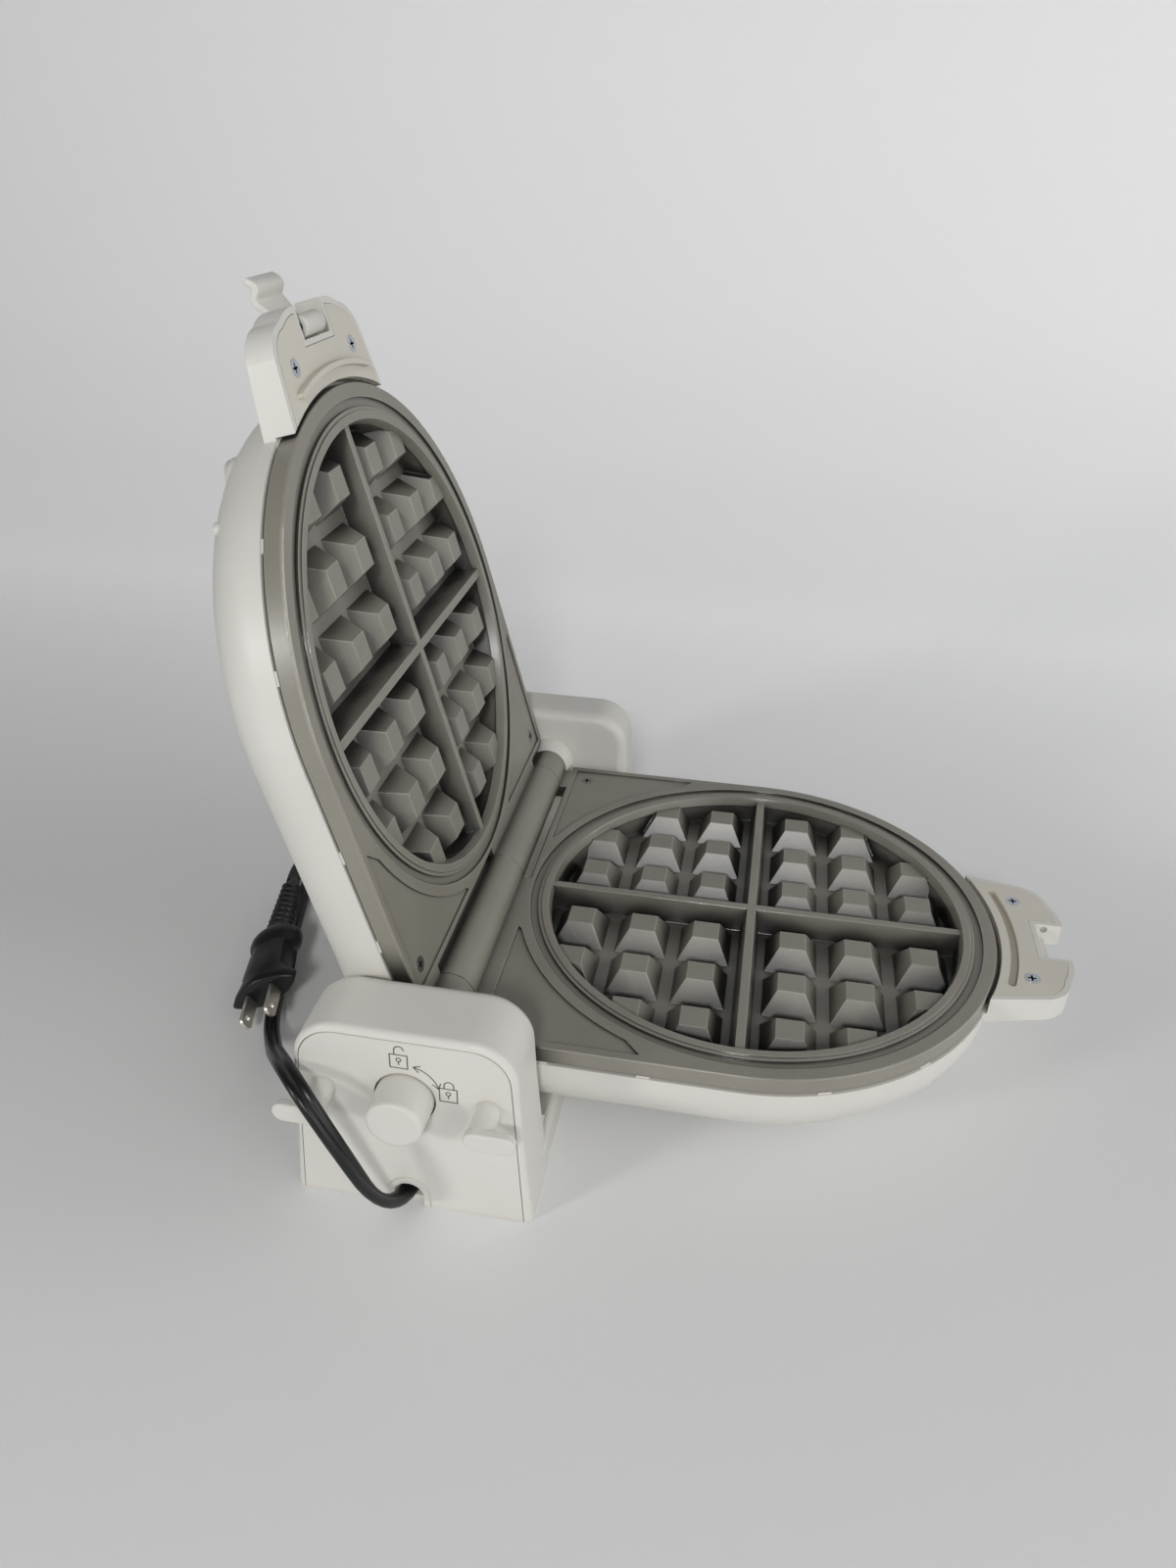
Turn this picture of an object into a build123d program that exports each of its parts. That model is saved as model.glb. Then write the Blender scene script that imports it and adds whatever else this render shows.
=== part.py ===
"""A flip waffle maker: two identical round grills hinged in a low two-tower stand.

Millimetres. The origin lies on the table under the hinge axis, midway between the towers.
+X runs from the hinge to the handle, +Z is up, and the tower with the knob stands at -Y.
The lid is modelled open, the lower grill level. Both grills are the same mouldings, so each
is made by one function in a grill's own frame: u from the hinge to the handle, w out of the
cooking face, with the hinge axis along v through the origin.
"""

from build123d import *
from math import atan2, cos, degrees, radians, sin, sqrt, tan
import os

os.makedirs("parts", exist_ok=True)

# The hinge and the two grill frames
hinge_height = 52.5
lid_angle = 105.0
lid_lean = radians(lid_angle)
LOWER = Plane(origin=(0, 0, hinge_height), x_dir=(1, 0, 0), z_dir=(0, 0, 1))
UPPER = Plane(
    origin=(0, 0, hinge_height),
    x_dir=(cos(lid_lean), 0, sin(lid_lean)),
    z_dir=(sin(lid_lean), 0, -cos(lid_lean)),
)

# Waffle plate, a die casting
plate_centre = 111.5
plate_radius = 101.5
hinge_edge = 13.0
face_gap = 0.3
land_drop = 0.5
land_thickness = 3.5
skirt_wall = 3.0
skirt_bottom = 7.5
dish_radius = 88.0
dish_floor_radius = 84.0
dish_depth = 12.3
dish_wall = 3.0
floor_thickness = 3.5
groove_inner = 92.5
groove_outer = 96.0
groove_depth = 1.2
panel_depth = 0.8
panel_foot = 34.0
panel_side = 98.0
panel_tip = 76.0

# Waffle pattern
peg_base = 21.7
peg_height = 9.3
peg_taper = 30.6
peg_first = 18.1
peg_pitch = 26.7
rib_base = 8.0
rib_top = 3.5
rib_height = 10.7

# Hinge
knuckle_radius = 9.8
long_knuckle = (-80.1, -0.15)
end_ring = (80.5, 96.9)
web_bottom = 7.0
pin_radius = 4.0
fixed_fit = 0.02
running_fit = 0.08
pin_inner_end = 50.0
near_pin_end = 115.0
far_pin_end = 112.0

# Shell
shell_radius = 102.3
shell_wall = 2.5
shell_seam = 0.8
shell_floor = 37.5
shell_round = 24.5
seam_tab = (5.0, 1.6)
plate_screw_place = (22.3, 90.2)
boss_radius = 4.0
boss_length = 27.0
post_angles = (-40, 40)
post_radius = 2.6
post_circle = 95.0
post_length = 25.5
foot_place = 188.8
foot_radius = 8.5
foot_bottom = 50.5
pad_thickness = 2.0
pad_stem_radius = 5.0
pad_stem_length = 4.5

# Handle tray, its cover and the notch for the latch
handle_root = 196.0
handle_root_half = 43.6
handle_shoulder = (228.5, 37.5)
handle_corner = (235.2, 33.2)
handle_cheek = (238.6, 25.5)
handle_nose = (241.1, 19.0)
handle_end = 241.8
handle_end_half = 13.0
rim_height = 1.0
rim_wall = 2.4
plate_to_handle = 1.5
root_depth = 13.5
end_depth = 11.0
tray_floor = 2.4
cover_top = 0.8
cover_thickness = 2.0
cover_gap = 0.15
handle_screw_place = (223.7, 25.8)
handle_boss_radius = 3.6
notch_start = 230.5
notch_half = 11.2
notch_wall = 2.0
ledge_top = 8.0
ledge_thickness = 2.2
lower_ledge_end = 235.6
upper_ledge_end = 231.8
rib_arc_radius = 108.3
rib_arc_half_angle = 16.5
arc_rib_width = 2.0
arc_groove_width = 3.2
arc_rib_height = 2.3
arc_groove_depth = 2.6
arc_groove_wall = 1.2

# Latch
latch_pivot = (234.8, -3.7)
latch_open_angle = 120.0
latch_width = 21.6
latch_arm_half = 8.0
latch_flare = (10.5, 13.2)
latch_barrel = 3.9
latch_pin_radius = 1.5
latch_pin_length = 25.8
latch_arm = (
    (0, 1.9),
    (5.1, 0),
    (5.1, 17.4),
    (2.0, 18.0),
    (1.5, 20.8),
    (0.1, 21.1),
    (-0.6, 17.0),
    (-1.6, 15.1),
    (1.2, 14.3),
    (1.3, 3.0),
)

# Screws
screw_radius = 1.4
screw_head_radius = 3.1
screw_cone = radians(41)
screw_length = 9.0
screw_clearance = 0.05
recess_length = 3.4
recess_width = 0.8
recess_depth = 1.3

# Heating element, clamps and thermostat
element_radius = 60.0
element_tube = 3.5
element_lead_gap = 12.0
element_bend = 12.0
element_start = 30.0
terminal_radius = 1.3
terminal_length = 9.0
clamp_strap = 1.2
clamp_width = 8.0
clamp_foot = 7.0
clamp_angles = (-90, 0, 90)
thermostat_radius = 8.0
thermostat_height = 6.0
thermostat_blade = (0.8, 5.0)
thermostat_blade_pitch = 9.0

# Stand
tower_inner = 105.0
near_face = 136.7
far_face = 131.6
tower_top = 80.2
face_lean = 3.2
tower_foot_half = 44.6
tower_waist = (42.0, 28.0)
tower_shoulder_half = 39.9
tower_corner = 17.0
inner_round = 5.0
outer_round = 2.5
stand_wall = 2.5
crossbar_half = 44.0
crossbar_height = 13.0
crossbar_fillet = 12.5
crossbar_round = 3.0
face_plate_thickness = 2.5
face_plate_gap = 0.25
face_plate_top = 77.3
face_plate_foot_half = 41.4
face_plate_top_half = 36.6
face_plate_corner = 14.0
cover_plate = 2.0
cover_plate_gap = 0.3
base_screw_places = ((-30, -118), (30, -118), (-30, 0), (30, 0), (-30, 118), (30, 118))
base_pad_places = ((-32, -90), (32, -90), (-32, 90), (32, 90))
base_pad_radius = 6.0
base_pad_depth = 1.2

# Hinge bushes in the towers
bush_face = 97.2
bush_tip_radius = 9.9
bush_root_radius = 12.5
bush_spigot_radius = 8.0
bush_spigot_length = 6.0

# Knob and what carries it
knob_base_radius = 10.5
knob_tip_radius = 10.0
knob_reach = 12.8
knob_skirt = 2.6
knob_wall = 1.8
knob_gap = 0.5
stem_radius = 2.5
stem_inner_end = 119.5
guide_radius = 15.0
guide_wall = 1.6
guide_flange = 19.0
guide_depth = 10.0
spring_radius = 5.5
spring_wire = 0.6
spring_turns = 3
clip_radius = 4.5
clip_thickness = 1.0
collar_radius = 7.0
collar_thickness = 3.0
collar_slot = 3.0

# Cord-wrap pegs and the cord slot
wrap_peg_place = 29.5
wrap_peg_radius = 4.4
wrap_peg_reach = 11.6
tongue_length = 18.0
tongue_height = 8.0
tongue_thickness = 3.0
tongue_offset = 3.7
slot_centre = -1.0
slot_half = 5.5
slot_wall = 2.2
slot_top = 11.3
wrap_spigot_radius = 2.5
gland_depth = 8.0
gland_web = 5.0

# Supply cord: the route of its middle line, chosen by hand, then the put-away coil
cord_radius = 2.8
cord_start_height = 5.2
cord_route = (
    (slot_centre, -124.0, cord_start_height),
    (slot_centre, -152.0, cord_start_height),
    (-22.5, -153.5, 56.0),
    (-38.0, -143.0, 68.0),
    (-56.0, -117.0, 46.0),
    (-75.0, -86.0, 14.0),
    (-90.0, -60.0, 2.9),
    (-104.5, -5.0, 2.9),
    (-116.0, 45.0, 2.9),
    (-116.0, 70.0, 2.9),
)
coil_south = 82.0
coil_north = 106.0
coil_first_radius = 32.0
coil_pitch = 7.6
coil_half_turns = 3
coil_rise = 7.6
coil_tail = 9.0
coil_exit = (-107.0, 57.0, 12.0)
plug_lead = 20.0

# Plug: two flat blades, lying on the cord
plug_height = 15.0
plug_tip = (-88.5, -73.0)
plug_heading = (-0.253, 0.9675)
blade_length = 17.0
blade_width = 6.35
blade_thickness = 1.5
blade_pitch = 12.7
blade_sunk = 8.0
body_length = 44.0
relief_length = 38.0
plug_half_width = 11.5
plug_half_height = 8.0
plug_waist_place = 21.0
plug_waist_half = 10.2
relief_root = 6.0
relief_tip = 4.4
relief_groove = 0.9
relief_ribs = 9


def shifted(base, u=0.0, v=0.0, w=0.0):
    """The plane parallel to base whose origin is at (u, v, w) in base's own coordinates."""
    return Plane(origin=base.from_local_coords(Vector(u, v, w)), x_dir=base.x_dir, z_dir=base.z_dir)


def side_plane(base, v=0.0):
    """The u-w plane of a grill at the given v; its normal points along -v."""
    return Plane(origin=base.from_local_coords(Vector(0, v, 0)), x_dir=base.x_dir, z_dir=-base.y_dir)


def end_plane(base, u=0.0):
    """The v-w plane of a grill at the given u; its normal points along +u."""
    return Plane(origin=base.from_local_coords(Vector(u, 0, 0)), x_dir=base.y_dir, z_dir=base.x_dir)


def plate_axis(base):
    return Axis(base.from_local_coords(Vector(plate_centre, 0, 0)), base.z_dir)


def d_outline(radius, edge):
    """The grill's plan: a half circle about the plate's centre, squared off to the hinge edge."""
    with BuildLine(Plane.XY) as plan:
        ThreePointArc((plate_centre, -radius), (plate_centre + radius, 0), (plate_centre, radius))
        Polyline((plate_centre, radius), (edge, radius), (edge, -radius), (plate_centre, -radius))
    return plan.edges()


def peg_places():
    steps = [peg_first + i * peg_pitch for i in range(3)]
    quadrant = [(a, b) for a in steps for b in steps if a * a + b * b < (dish_radius + 4) ** 2]
    return [(plate_centre + i * a, j * b) for a, b in quadrant for i in (-1, 1) for j in (-1, 1)]


def waffle_pattern(base):
    """The raised pegs and the cross ribs, cut round where they run into the dish wall."""
    floor = -(face_gap + dish_depth)
    sink = 0.2
    spread = peg_base + 2 * sink * tan(radians(peg_taper))
    with BuildPart() as pattern:
        with BuildSketch(base.offset(floor - sink)):
            with Locations(*peg_places()):
                Rectangle(spread, spread)
        extrude(amount=peg_height + sink, taper=peg_taper)
        for plane, middle in ((end_plane(base, plate_centre), 0), (side_plane(base), plate_centre)):
            with BuildSketch(plane):
                Polygon(
                    (middle - rib_base / 2, floor - sink),
                    (middle + rib_base / 2, floor - sink),
                    (middle + rib_base / 2, floor),
                    (middle + rib_top / 2, floor + rib_height),
                    (middle - rib_top / 2, floor + rib_height),
                    (middle - rib_base / 2, floor),
                    align=None,
                )
            extrude(amount=dish_radius, both=True)
        with BuildSketch(base.offset(-face_gap)):
            with Locations((plate_centre, 0)):
                Circle(dish_radius + 1)
        extrude(amount=-(dish_depth + 1), mode=Mode.INTERSECT)
    return pattern.part


def waffle_plate(base, bore_fit):
    """The die-cast plate: land and skirt, dish with pegs, raised lip, groove and hinge knuckles."""
    land = -(face_gap + land_drop)
    under_land = land - land_thickness
    floor = -(face_gap + dish_depth)
    pattern = waffle_pattern(base)
    outline = d_outline(plate_radius, hinge_edge)
    inner_outline = d_outline(plate_radius - skirt_wall, hinge_edge + skirt_wall)
    with BuildPart() as plate:
        with BuildSketch(base.offset(-skirt_bottom)):
            make_face(outline)
        extrude(amount=skirt_bottom + land)
        rim = plate.faces().sort_by(Axis(base.origin, base.z_dir))[-1].edges()
        fillet(rim, 0.8)
        with BuildSketch(base.offset(-skirt_bottom)):
            make_face(inner_outline)
        extrude(amount=skirt_bottom + under_land, mode=Mode.SUBTRACT)
        # dish and lip, turned about the plate's axis
        with BuildSketch(side_plane(base)):
            Polygon(
                (plate_centre, floor),
                (plate_centre, floor - floor_thickness),
                (plate_centre + dish_floor_radius + dish_wall, floor - floor_thickness),
                (plate_centre + dish_radius + dish_wall, under_land),
                (plate_centre + dish_radius + dish_wall, -face_gap),
                (plate_centre + dish_radius, -face_gap),
                (plate_centre + dish_radius - 2, floor),
                align=None,
            )
        revolve(axis=plate_axis(base))
        with BuildSketch(side_plane(base)):
            Polygon(
                (plate_centre, floor),
                (plate_centre + dish_floor_radius, floor),
                (plate_centre + dish_radius, -face_gap),
                (plate_centre, -face_gap),
                align=None,
            )
        revolve(axis=plate_axis(base), mode=Mode.SUBTRACT)
        with BuildSketch(base.offset(land)):
            with Locations((plate_centre, 0)):
                Circle(groove_outer)
                Circle(groove_inner, mode=Mode.SUBTRACT)
        extrude(amount=-groove_depth, mode=Mode.SUBTRACT)
        # shallow corner panels beside the hinge, outside the round of the dish
        with BuildSketch(base.offset(land)):
            for side in (-1, 1):
                Polygon(
                    (hinge_edge + skirt_wall, side * panel_foot),
                    (hinge_edge + skirt_wall, side * panel_side),
                    (panel_tip, side * panel_side),
                    align=None,
                )
            with Locations((plate_centre, 0)):
                Circle(plate_radius - 1.1, mode=Mode.SUBTRACT)
        extrude(amount=-panel_depth, mode=Mode.SUBTRACT)
        add(pattern)
        # hinge knuckles with the webs that carry them
        for low, high in (long_knuckle, end_ring):
            with BuildSketch(side_plane(base, high)):
                Circle(knuckle_radius)
                with Locations((hinge_edge / 2 + 0.5, (land - web_bottom) / 2)):
                    Rectangle(hinge_edge + 1, land + web_bottom)
            extrude(amount=high - low)
        with BuildSketch(side_plane(base, end_ring[1])):
            Circle(pin_radius + bore_fit)
        extrude(amount=end_ring[1] - end_ring[0], mode=Mode.SUBTRACT)
        with BuildSketch(side_plane(base, -pin_inner_end + 1)):
            Circle(pin_radius + bore_fit)
        extrude(amount=-long_knuckle[0] - pin_inner_end + 2, mode=Mode.SUBTRACT)
        # holes for the two screws beside the hinge
        for side in (-1, 1):
            place = shifted(base, plate_screw_place[0], side * plate_screw_place[1], land - panel_depth)
            with Locations(place):
                CounterSinkHole(
                    radius=screw_radius + screw_clearance,
                    counter_sink_radius=screw_head_radius + screw_clearance,
                    depth=land_thickness,
                )
    return plate.part


def bowl(base, inset):
    """The rounded bowl of a grill's shell, drawn in by inset on every side but its open top."""
    radius = shell_radius - inset
    floor = -(shell_floor - inset)
    turn = shell_round - inset
    rise = -(skirt_bottom + shell_seam) + (1 if inset else 0)
    edge = hinge_edge + inset
    lean = turn * (1 - sqrt(0.5))
    with BuildPart() as form:
        with BuildSketch(side_plane(base)):
            with BuildLine():
                Polyline(
                    (plate_centre + radius - turn, floor),
                    (plate_centre, floor),
                    (plate_centre, rise),
                    (plate_centre + radius, rise),
                    (plate_centre + radius, floor + turn),
                )
                ThreePointArc(
                    (plate_centre + radius, floor + turn),
                    (plate_centre + radius - lean, floor + lean),
                    (plate_centre + radius - turn, floor),
                )
            make_face()
        revolve(axis=plate_axis(base))
        with BuildSketch(end_plane(base, edge)):
            with BuildLine():
                for side in (-1, 1):
                    ThreePointArc(
                        (side * radius, floor + turn),
                        (side * (radius - lean), floor + lean),
                        (side * (radius - turn), floor),
                    )
                    Line((side * radius, floor + turn), (side * radius, rise))
                Line((-radius, rise), (radius, rise))
                Line((turn - radius, floor), (radius - turn, floor))
            make_face()
        extrude(amount=plate_centre - edge)
        with BuildSketch(base.offset(rise)):
            with Locations((edge - 20, 0)):
                Rectangle(40, 3 * radius)
        extrude(amount=floor - rise - 1, mode=Mode.SUBTRACT)
    return form.part


def handle_outline():
    """The handle's plan, from under the plate's edge to its blunt end."""
    with BuildLine(Plane.XY) as plan:
        for side in (-1, 1):
            Line((handle_root, side * handle_root_half), (handle_shoulder[0], side * handle_shoulder[1]))
            ThreePointArc(
                (handle_shoulder[0], side * handle_shoulder[1]),
                (handle_corner[0], side * handle_corner[1]),
                (handle_cheek[0], side * handle_cheek[1]),
            )
            ThreePointArc(
                (handle_cheek[0], side * handle_cheek[1]),
                (handle_nose[0], side * handle_nose[1]),
                (handle_end, side * handle_end_half),
            )
        Line((handle_end, -handle_end_half), (handle_end, handle_end_half))
        Line((handle_root, -handle_root_half), (handle_root, handle_root_half))
    return plan.edges()


def handle_block(base, wall, raise_floor, top):
    """The handle's solid form drawn in by wall, its underside raised by raise_floor."""
    outline = handle_outline()
    with BuildPart() as block:
        with BuildSketch(base.offset(top)):
            make_face(outline)
            if wall:
                offset(amount=-wall, kind=Kind.INTERSECTION)
                with Locations((handle_root, 0)):
                    Rectangle(4 * wall, 2 * (handle_root_half - 2 * wall))
        extrude(amount=-(root_depth + 2))
        with BuildSketch(side_plane(base)):
            Polygon(
                (handle_root - 10, top + 1),
                (handle_end + 1, top + 1),
                (handle_end + 1, raise_floor - end_depth),
                (handle_cheek[0], raise_floor - end_depth),
                (handle_root, raise_floor - root_depth),
                (handle_root - 10, raise_floor - root_depth),
                align=None,
            )
        extrude(amount=handle_root_half + 5, both=True, mode=Mode.INTERSECT)
    return block.part


def tray_hollow(base, inner_edge):
    """The hollow of the handle tray, outside the wall that stands along the plate."""
    hollow = handle_block(base, rim_wall, tray_floor, -rim_height)
    with BuildPart() as tray:
        add(hollow)
        with BuildSketch(base.offset(-root_depth - 5)):
            with Locations((plate_centre, 0)):
                Circle(inner_edge)
        extrude(amount=root_depth + 10, mode=Mode.SUBTRACT)
    return tray.part


def notch_block(base):
    """The walls round the latch notch, as deep as the handle is there."""
    handle = handle_block(base, 0, 0, -rim_height)
    with BuildPart() as block:
        add(handle)
        with BuildSketch(base):
            with Locations(((notch_start - notch_wall + handle_end) / 2, 0)):
                Rectangle(handle_end - notch_start + notch_wall, 2 * (notch_half + notch_wall))
        extrude(amount=root_depth + 5, both=True, mode=Mode.INTERSECT)
    return block.part


def shell(base, ledge_end):
    """One grill's moulded shell with its handle tray, latch notch, foot and screw bosses."""
    seam = -(skirt_bottom + shell_seam)
    rim = -rim_height
    tray_edge = plate_radius + plate_to_handle
    under_land = -(face_gap + land_drop + land_thickness)
    cover_under = -(cover_top + cover_thickness)
    outline = handle_outline()
    outside = bowl(base, 0)
    inside = bowl(base, shell_wall)
    handle = handle_block(base, 0, 0, rim)
    hollow = tray_hollow(base, tray_edge + rim_wall)
    notch = notch_block(base)
    with BuildPart() as body:
        add(outside)
        add(handle)
        # foot near the handle, on which this side stands level
        with BuildSketch(base.offset(-foot_bottom)):
            with Locations((foot_place, 0)):
                Circle(foot_radius)
        extrude(amount=foot_bottom - shell_floor + 6)
        # the plate's skirt keeps its gap to the handle above the seam
        with BuildSketch(base.offset(seam)):
            with Locations((plate_centre, 0)):
                Circle(tray_edge)
        extrude(amount=-seam + 1, mode=Mode.SUBTRACT)
        add(inside, mode=Mode.SUBTRACT)
        add(hollow, mode=Mode.SUBTRACT)
        # the wall along the plate stops under the cover, which lies on it
        with BuildSketch(base.offset(cover_under)):
            make_face(outline)
            offset(amount=-rim_wall, kind=Kind.INTERSECTION)
        extrude(amount=1 - cover_under, mode=Mode.SUBTRACT)
        # block of the latch notch, cut open to the end, with its ledge
        add(notch)
        with BuildSketch(base):
            with Locations((notch_start + 10, 0)):
                Rectangle(20, 2 * notch_half)
        extrude(amount=root_depth + 5, both=True, mode=Mode.SUBTRACT)
        with BuildSketch(base.offset(-ledge_top)):
            with Locations(((notch_start - 0.5 + ledge_end) / 2, 0)):
                Rectangle(ledge_end - notch_start + 0.5, 2 * notch_half + 1)
        extrude(amount=-ledge_thickness)
        with BuildSketch(side_plane(base)):
            with Locations(latch_pivot):
                Circle(latch_pin_radius)
        extrude(amount=latch_pin_length / 2, both=True, mode=Mode.SUBTRACT)
        # bosses that carry the cover and take its screws
        with BuildSketch(base.offset(cover_under)):
            with Locations(*[(handle_screw_place[0], s * handle_screw_place[1]) for s in (-1, 1)]):
                Circle(handle_boss_radius)
        extrude(amount=cover_under + end_depth - 1, dir=-base.z_dir)
        with BuildSketch(base.offset(cover_under)):
            with Locations(*[(handle_screw_place[0], s * handle_screw_place[1]) for s in (-1, 1)]):
                Circle(screw_radius)
        extrude(amount=-(screw_length - cover_thickness + 0.5), mode=Mode.SUBTRACT)
        # bosses for the plate's screws and posts under its land
        with BuildSketch(base.offset(under_land)):
            with Locations(*[(plate_screw_place[0], s * plate_screw_place[1]) for s in (-1, 1)]):
                Circle(boss_radius)
        extrude(amount=-boss_length)
        with BuildSketch(base.offset(under_land)):
            with Locations(*[(plate_screw_place[0], s * plate_screw_place[1]) for s in (-1, 1)]):
                Circle(screw_radius)
        extrude(amount=-screw_length, mode=Mode.SUBTRACT)
        with BuildSketch(base.offset(under_land)):
            with Locations((plate_centre, 0)):
                with Locations(*[(post_circle * cos(radians(a)), post_circle * sin(radians(a))) for a in post_angles]):
                    Circle(post_radius)
        extrude(amount=-post_length)
        # small tabs that bridge the seam under the skirt
        with BuildSketch(base.offset(seam - 1)):
            with Locations((plate_centre, 0)):
                with PolarLocations(shell_radius - 1.3, 7, start_angle=-72, angular_range=144, endpoint=True):
                    Rectangle(seam_tab[1], seam_tab[0])
            for along in (40, 78):
                for side in (-1, 1):
                    with Locations((along, side * (shell_radius - 1.3))):
                        Rectangle(seam_tab[0], seam_tab[1])
        extrude(amount=shell_seam + 1)
        # socket in the foot for its rubber pad
        with BuildSketch(base.offset(-foot_bottom)):
            with Locations((foot_place, 0)):
                Circle(pad_stem_radius)
        extrude(amount=pad_stem_length + 0.5, mode=Mode.SUBTRACT)
    return body.part



def arc_band(radius, half_angle):
    """The arc that the groove and the rib on the handle covers follow, about the plate's centre."""
    with BuildLine(Plane.XY) as band:
        CenterArc((plate_centre, 0), radius, -half_angle, 2 * half_angle)
    return band.wire()


def handle_cover(base, ribbed):
    """The beige cover let into the handle tray; the lid's has an arc rib, the other its groove."""
    outline = handle_outline()
    band = arc_band(rib_arc_radius, rib_arc_half_angle)
    with BuildPart() as cover:
        with BuildSketch(base.offset(-cover_top)):
            make_face(outline)
            offset(amount=-(rim_wall + cover_gap), kind=Kind.INTERSECTION)
            with Locations((plate_centre, 0)):
                Circle(plate_radius + plate_to_handle + cover_gap, mode=Mode.SUBTRACT)
            with Locations((notch_start - notch_wall - cover_gap + 10, 0)):
                Rectangle(20, 2 * (notch_half + notch_wall + cover_gap), mode=Mode.SUBTRACT)
        extrude(amount=-cover_thickness)
        if ribbed:
            with BuildSketch(base.offset(-cover_top)):
                SlotArc(arc=band, height=arc_rib_width)
            extrude(amount=arc_rib_height)
        else:
            with BuildSketch(base.offset(-cover_top)):
                SlotArc(arc=band, height=arc_groove_width + 2 * arc_groove_wall)
            extrude(amount=-(arc_groove_depth + arc_groove_wall))
            with BuildSketch(base.offset(-cover_top)):
                SlotArc(arc=band, height=arc_groove_width)
            extrude(amount=-arc_groove_depth, mode=Mode.SUBTRACT)
        for side in (-1, 1):
            with Locations(shifted(base, handle_screw_place[0], side * handle_screw_place[1], -cover_top)):
                CounterSinkHole(
                    radius=screw_radius + screw_clearance,
                    counter_sink_radius=screw_head_radius + screw_clearance,
                    depth=cover_thickness,
                )
    return cover.part


def countersunk_screws(planes):
    """Flat-head screws, one on each plane, with the head's face in the plane and the shank below."""
    cone_depth = (screw_head_radius - screw_radius) / tan(screw_cone)
    with BuildPart() as screws:
        for plane in planes:
            with BuildSketch(side_plane(plane)):
                Polygon(
                    (0, 0),
                    (screw_head_radius, 0),
                    (screw_radius, -cone_depth),
                    (screw_radius, -screw_length),
                    (0, -screw_length),
                    align=None,
                )
            revolve(axis=Axis(plane.origin, plane.z_dir))
            with BuildSketch(plane):
                Rectangle(recess_length, recess_width)
                Rectangle(recess_width, recess_length)
            extrude(amount=-recess_depth, mode=Mode.SUBTRACT)
    return screws.part


def paired(base, place, w):
    return [shifted(base, place[0], side * place[1], w) for side in (-1, 1)]


def heating_element(base):
    """The bent tube under the dish: nearly a full ring with two leads towards the hinge."""
    level = -(face_gap + dish_depth + floor_thickness + element_tube)
    across = element_lead_gap + element_bend
    along = sqrt((element_radius + element_bend) ** 2 - across**2)
    turn = degrees(atan2(across, along))
    with BuildLine(Plane.XY) as route:
        lead = Line((element_start, -element_lead_gap), (plate_centre - along, -element_lead_gap))
        inward = JernArc(lead @ 1, lead % 1, element_bend, turn - 90)
        ring = JernArc(inward @ 1, inward % 1, element_radius, 360 - 2 * turn)
        outward = JernArc(ring @ 1, ring % 1, element_bend, turn - 90)
        Line(outward @ 1, (element_start, element_lead_gap))
    path = base.offset(level).location * route.line
    with BuildPart() as element:
        with BuildSketch(end_plane(shifted(base, w=level, v=-element_lead_gap), element_start)):
            Circle(element_tube)
        sweep(path=path)
        with BuildSketch(end_plane(shifted(base, w=level), element_start)):
            for side in (-1, 1):
                with Locations((side * element_lead_gap, 0)):
                    Circle(terminal_radius)
        extrude(amount=-terminal_length)
    return element.part


def element_clamps(base):
    """Straps over the element's ring, their feet flat under the dish."""
    under = -(face_gap + dish_depth + floor_thickness)
    level = under - element_tube
    reach = element_tube + clamp_strap
    half_turn = degrees(clamp_width / 2 / element_radius)
    centre = shifted(base, plate_centre)
    with BuildPart() as clamps:
        for angle in clamp_angles:
            start = radians(angle - half_turn)
            outward = base.x_dir * cos(start) + base.y_dir * sin(start)
            spoke = Plane(origin=centre.origin, x_dir=outward, z_dir=base.z_dir)
            with BuildSketch(side_plane(spoke)):
                with Locations((element_radius, level)):
                    Circle(reach)
                with Locations((element_radius, (under + level) / 2)):
                    Rectangle(2 * reach, under - level)
                with Locations((element_radius, under - clamp_strap / 2)):
                    Rectangle(2 * (reach + clamp_foot), clamp_strap)
                with Locations((element_radius, under + reach)):
                    Rectangle(4 * reach, 2 * reach, mode=Mode.SUBTRACT)
                with Locations((element_radius, level)):
                    Circle(element_tube + screw_clearance, mode=Mode.SUBTRACT)
                with Locations((element_radius, (under + level) / 2)):
                    Rectangle(2 * (element_tube + screw_clearance), under - level, mode=Mode.SUBTRACT)
            revolve(axis=Axis(centre.origin, centre.z_dir), revolution_arc=2 * half_turn)
    return clamps.part


def thermostat(base):
    """The snap thermostat under the middle of the dish with its two blade terminals."""
    under = -(face_gap + dish_depth + floor_thickness)
    with BuildPart() as disc:
        with BuildSketch(base.offset(under)):
            with Locations((plate_centre, 0)):
                Circle(thermostat_radius)
        extrude(amount=-thermostat_height)
        with BuildSketch(base.offset(under - thermostat_height)):
            with Locations((plate_centre, 0)):
                with GridLocations(thermostat_blade_pitch, 0, 2, 1):
                    Rectangle(*thermostat_blade)
        extrude(amount=-thermostat_blade[1])
    return disc.part


def foot_pad(base):
    """The rubber pad with a stem that plugs into the foot."""
    with BuildPart() as pad:
        with BuildSketch(base.offset(-foot_bottom)):
            with Locations((foot_place, 0)):
                Circle(foot_radius - 0.5)
        extrude(amount=-pad_thickness)
        with BuildSketch(base.offset(-foot_bottom)):
            with Locations((foot_place, 0)):
                Circle(pad_stem_radius - screw_clearance)
        extrude(amount=pad_stem_length)
    return pad.part


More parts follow.
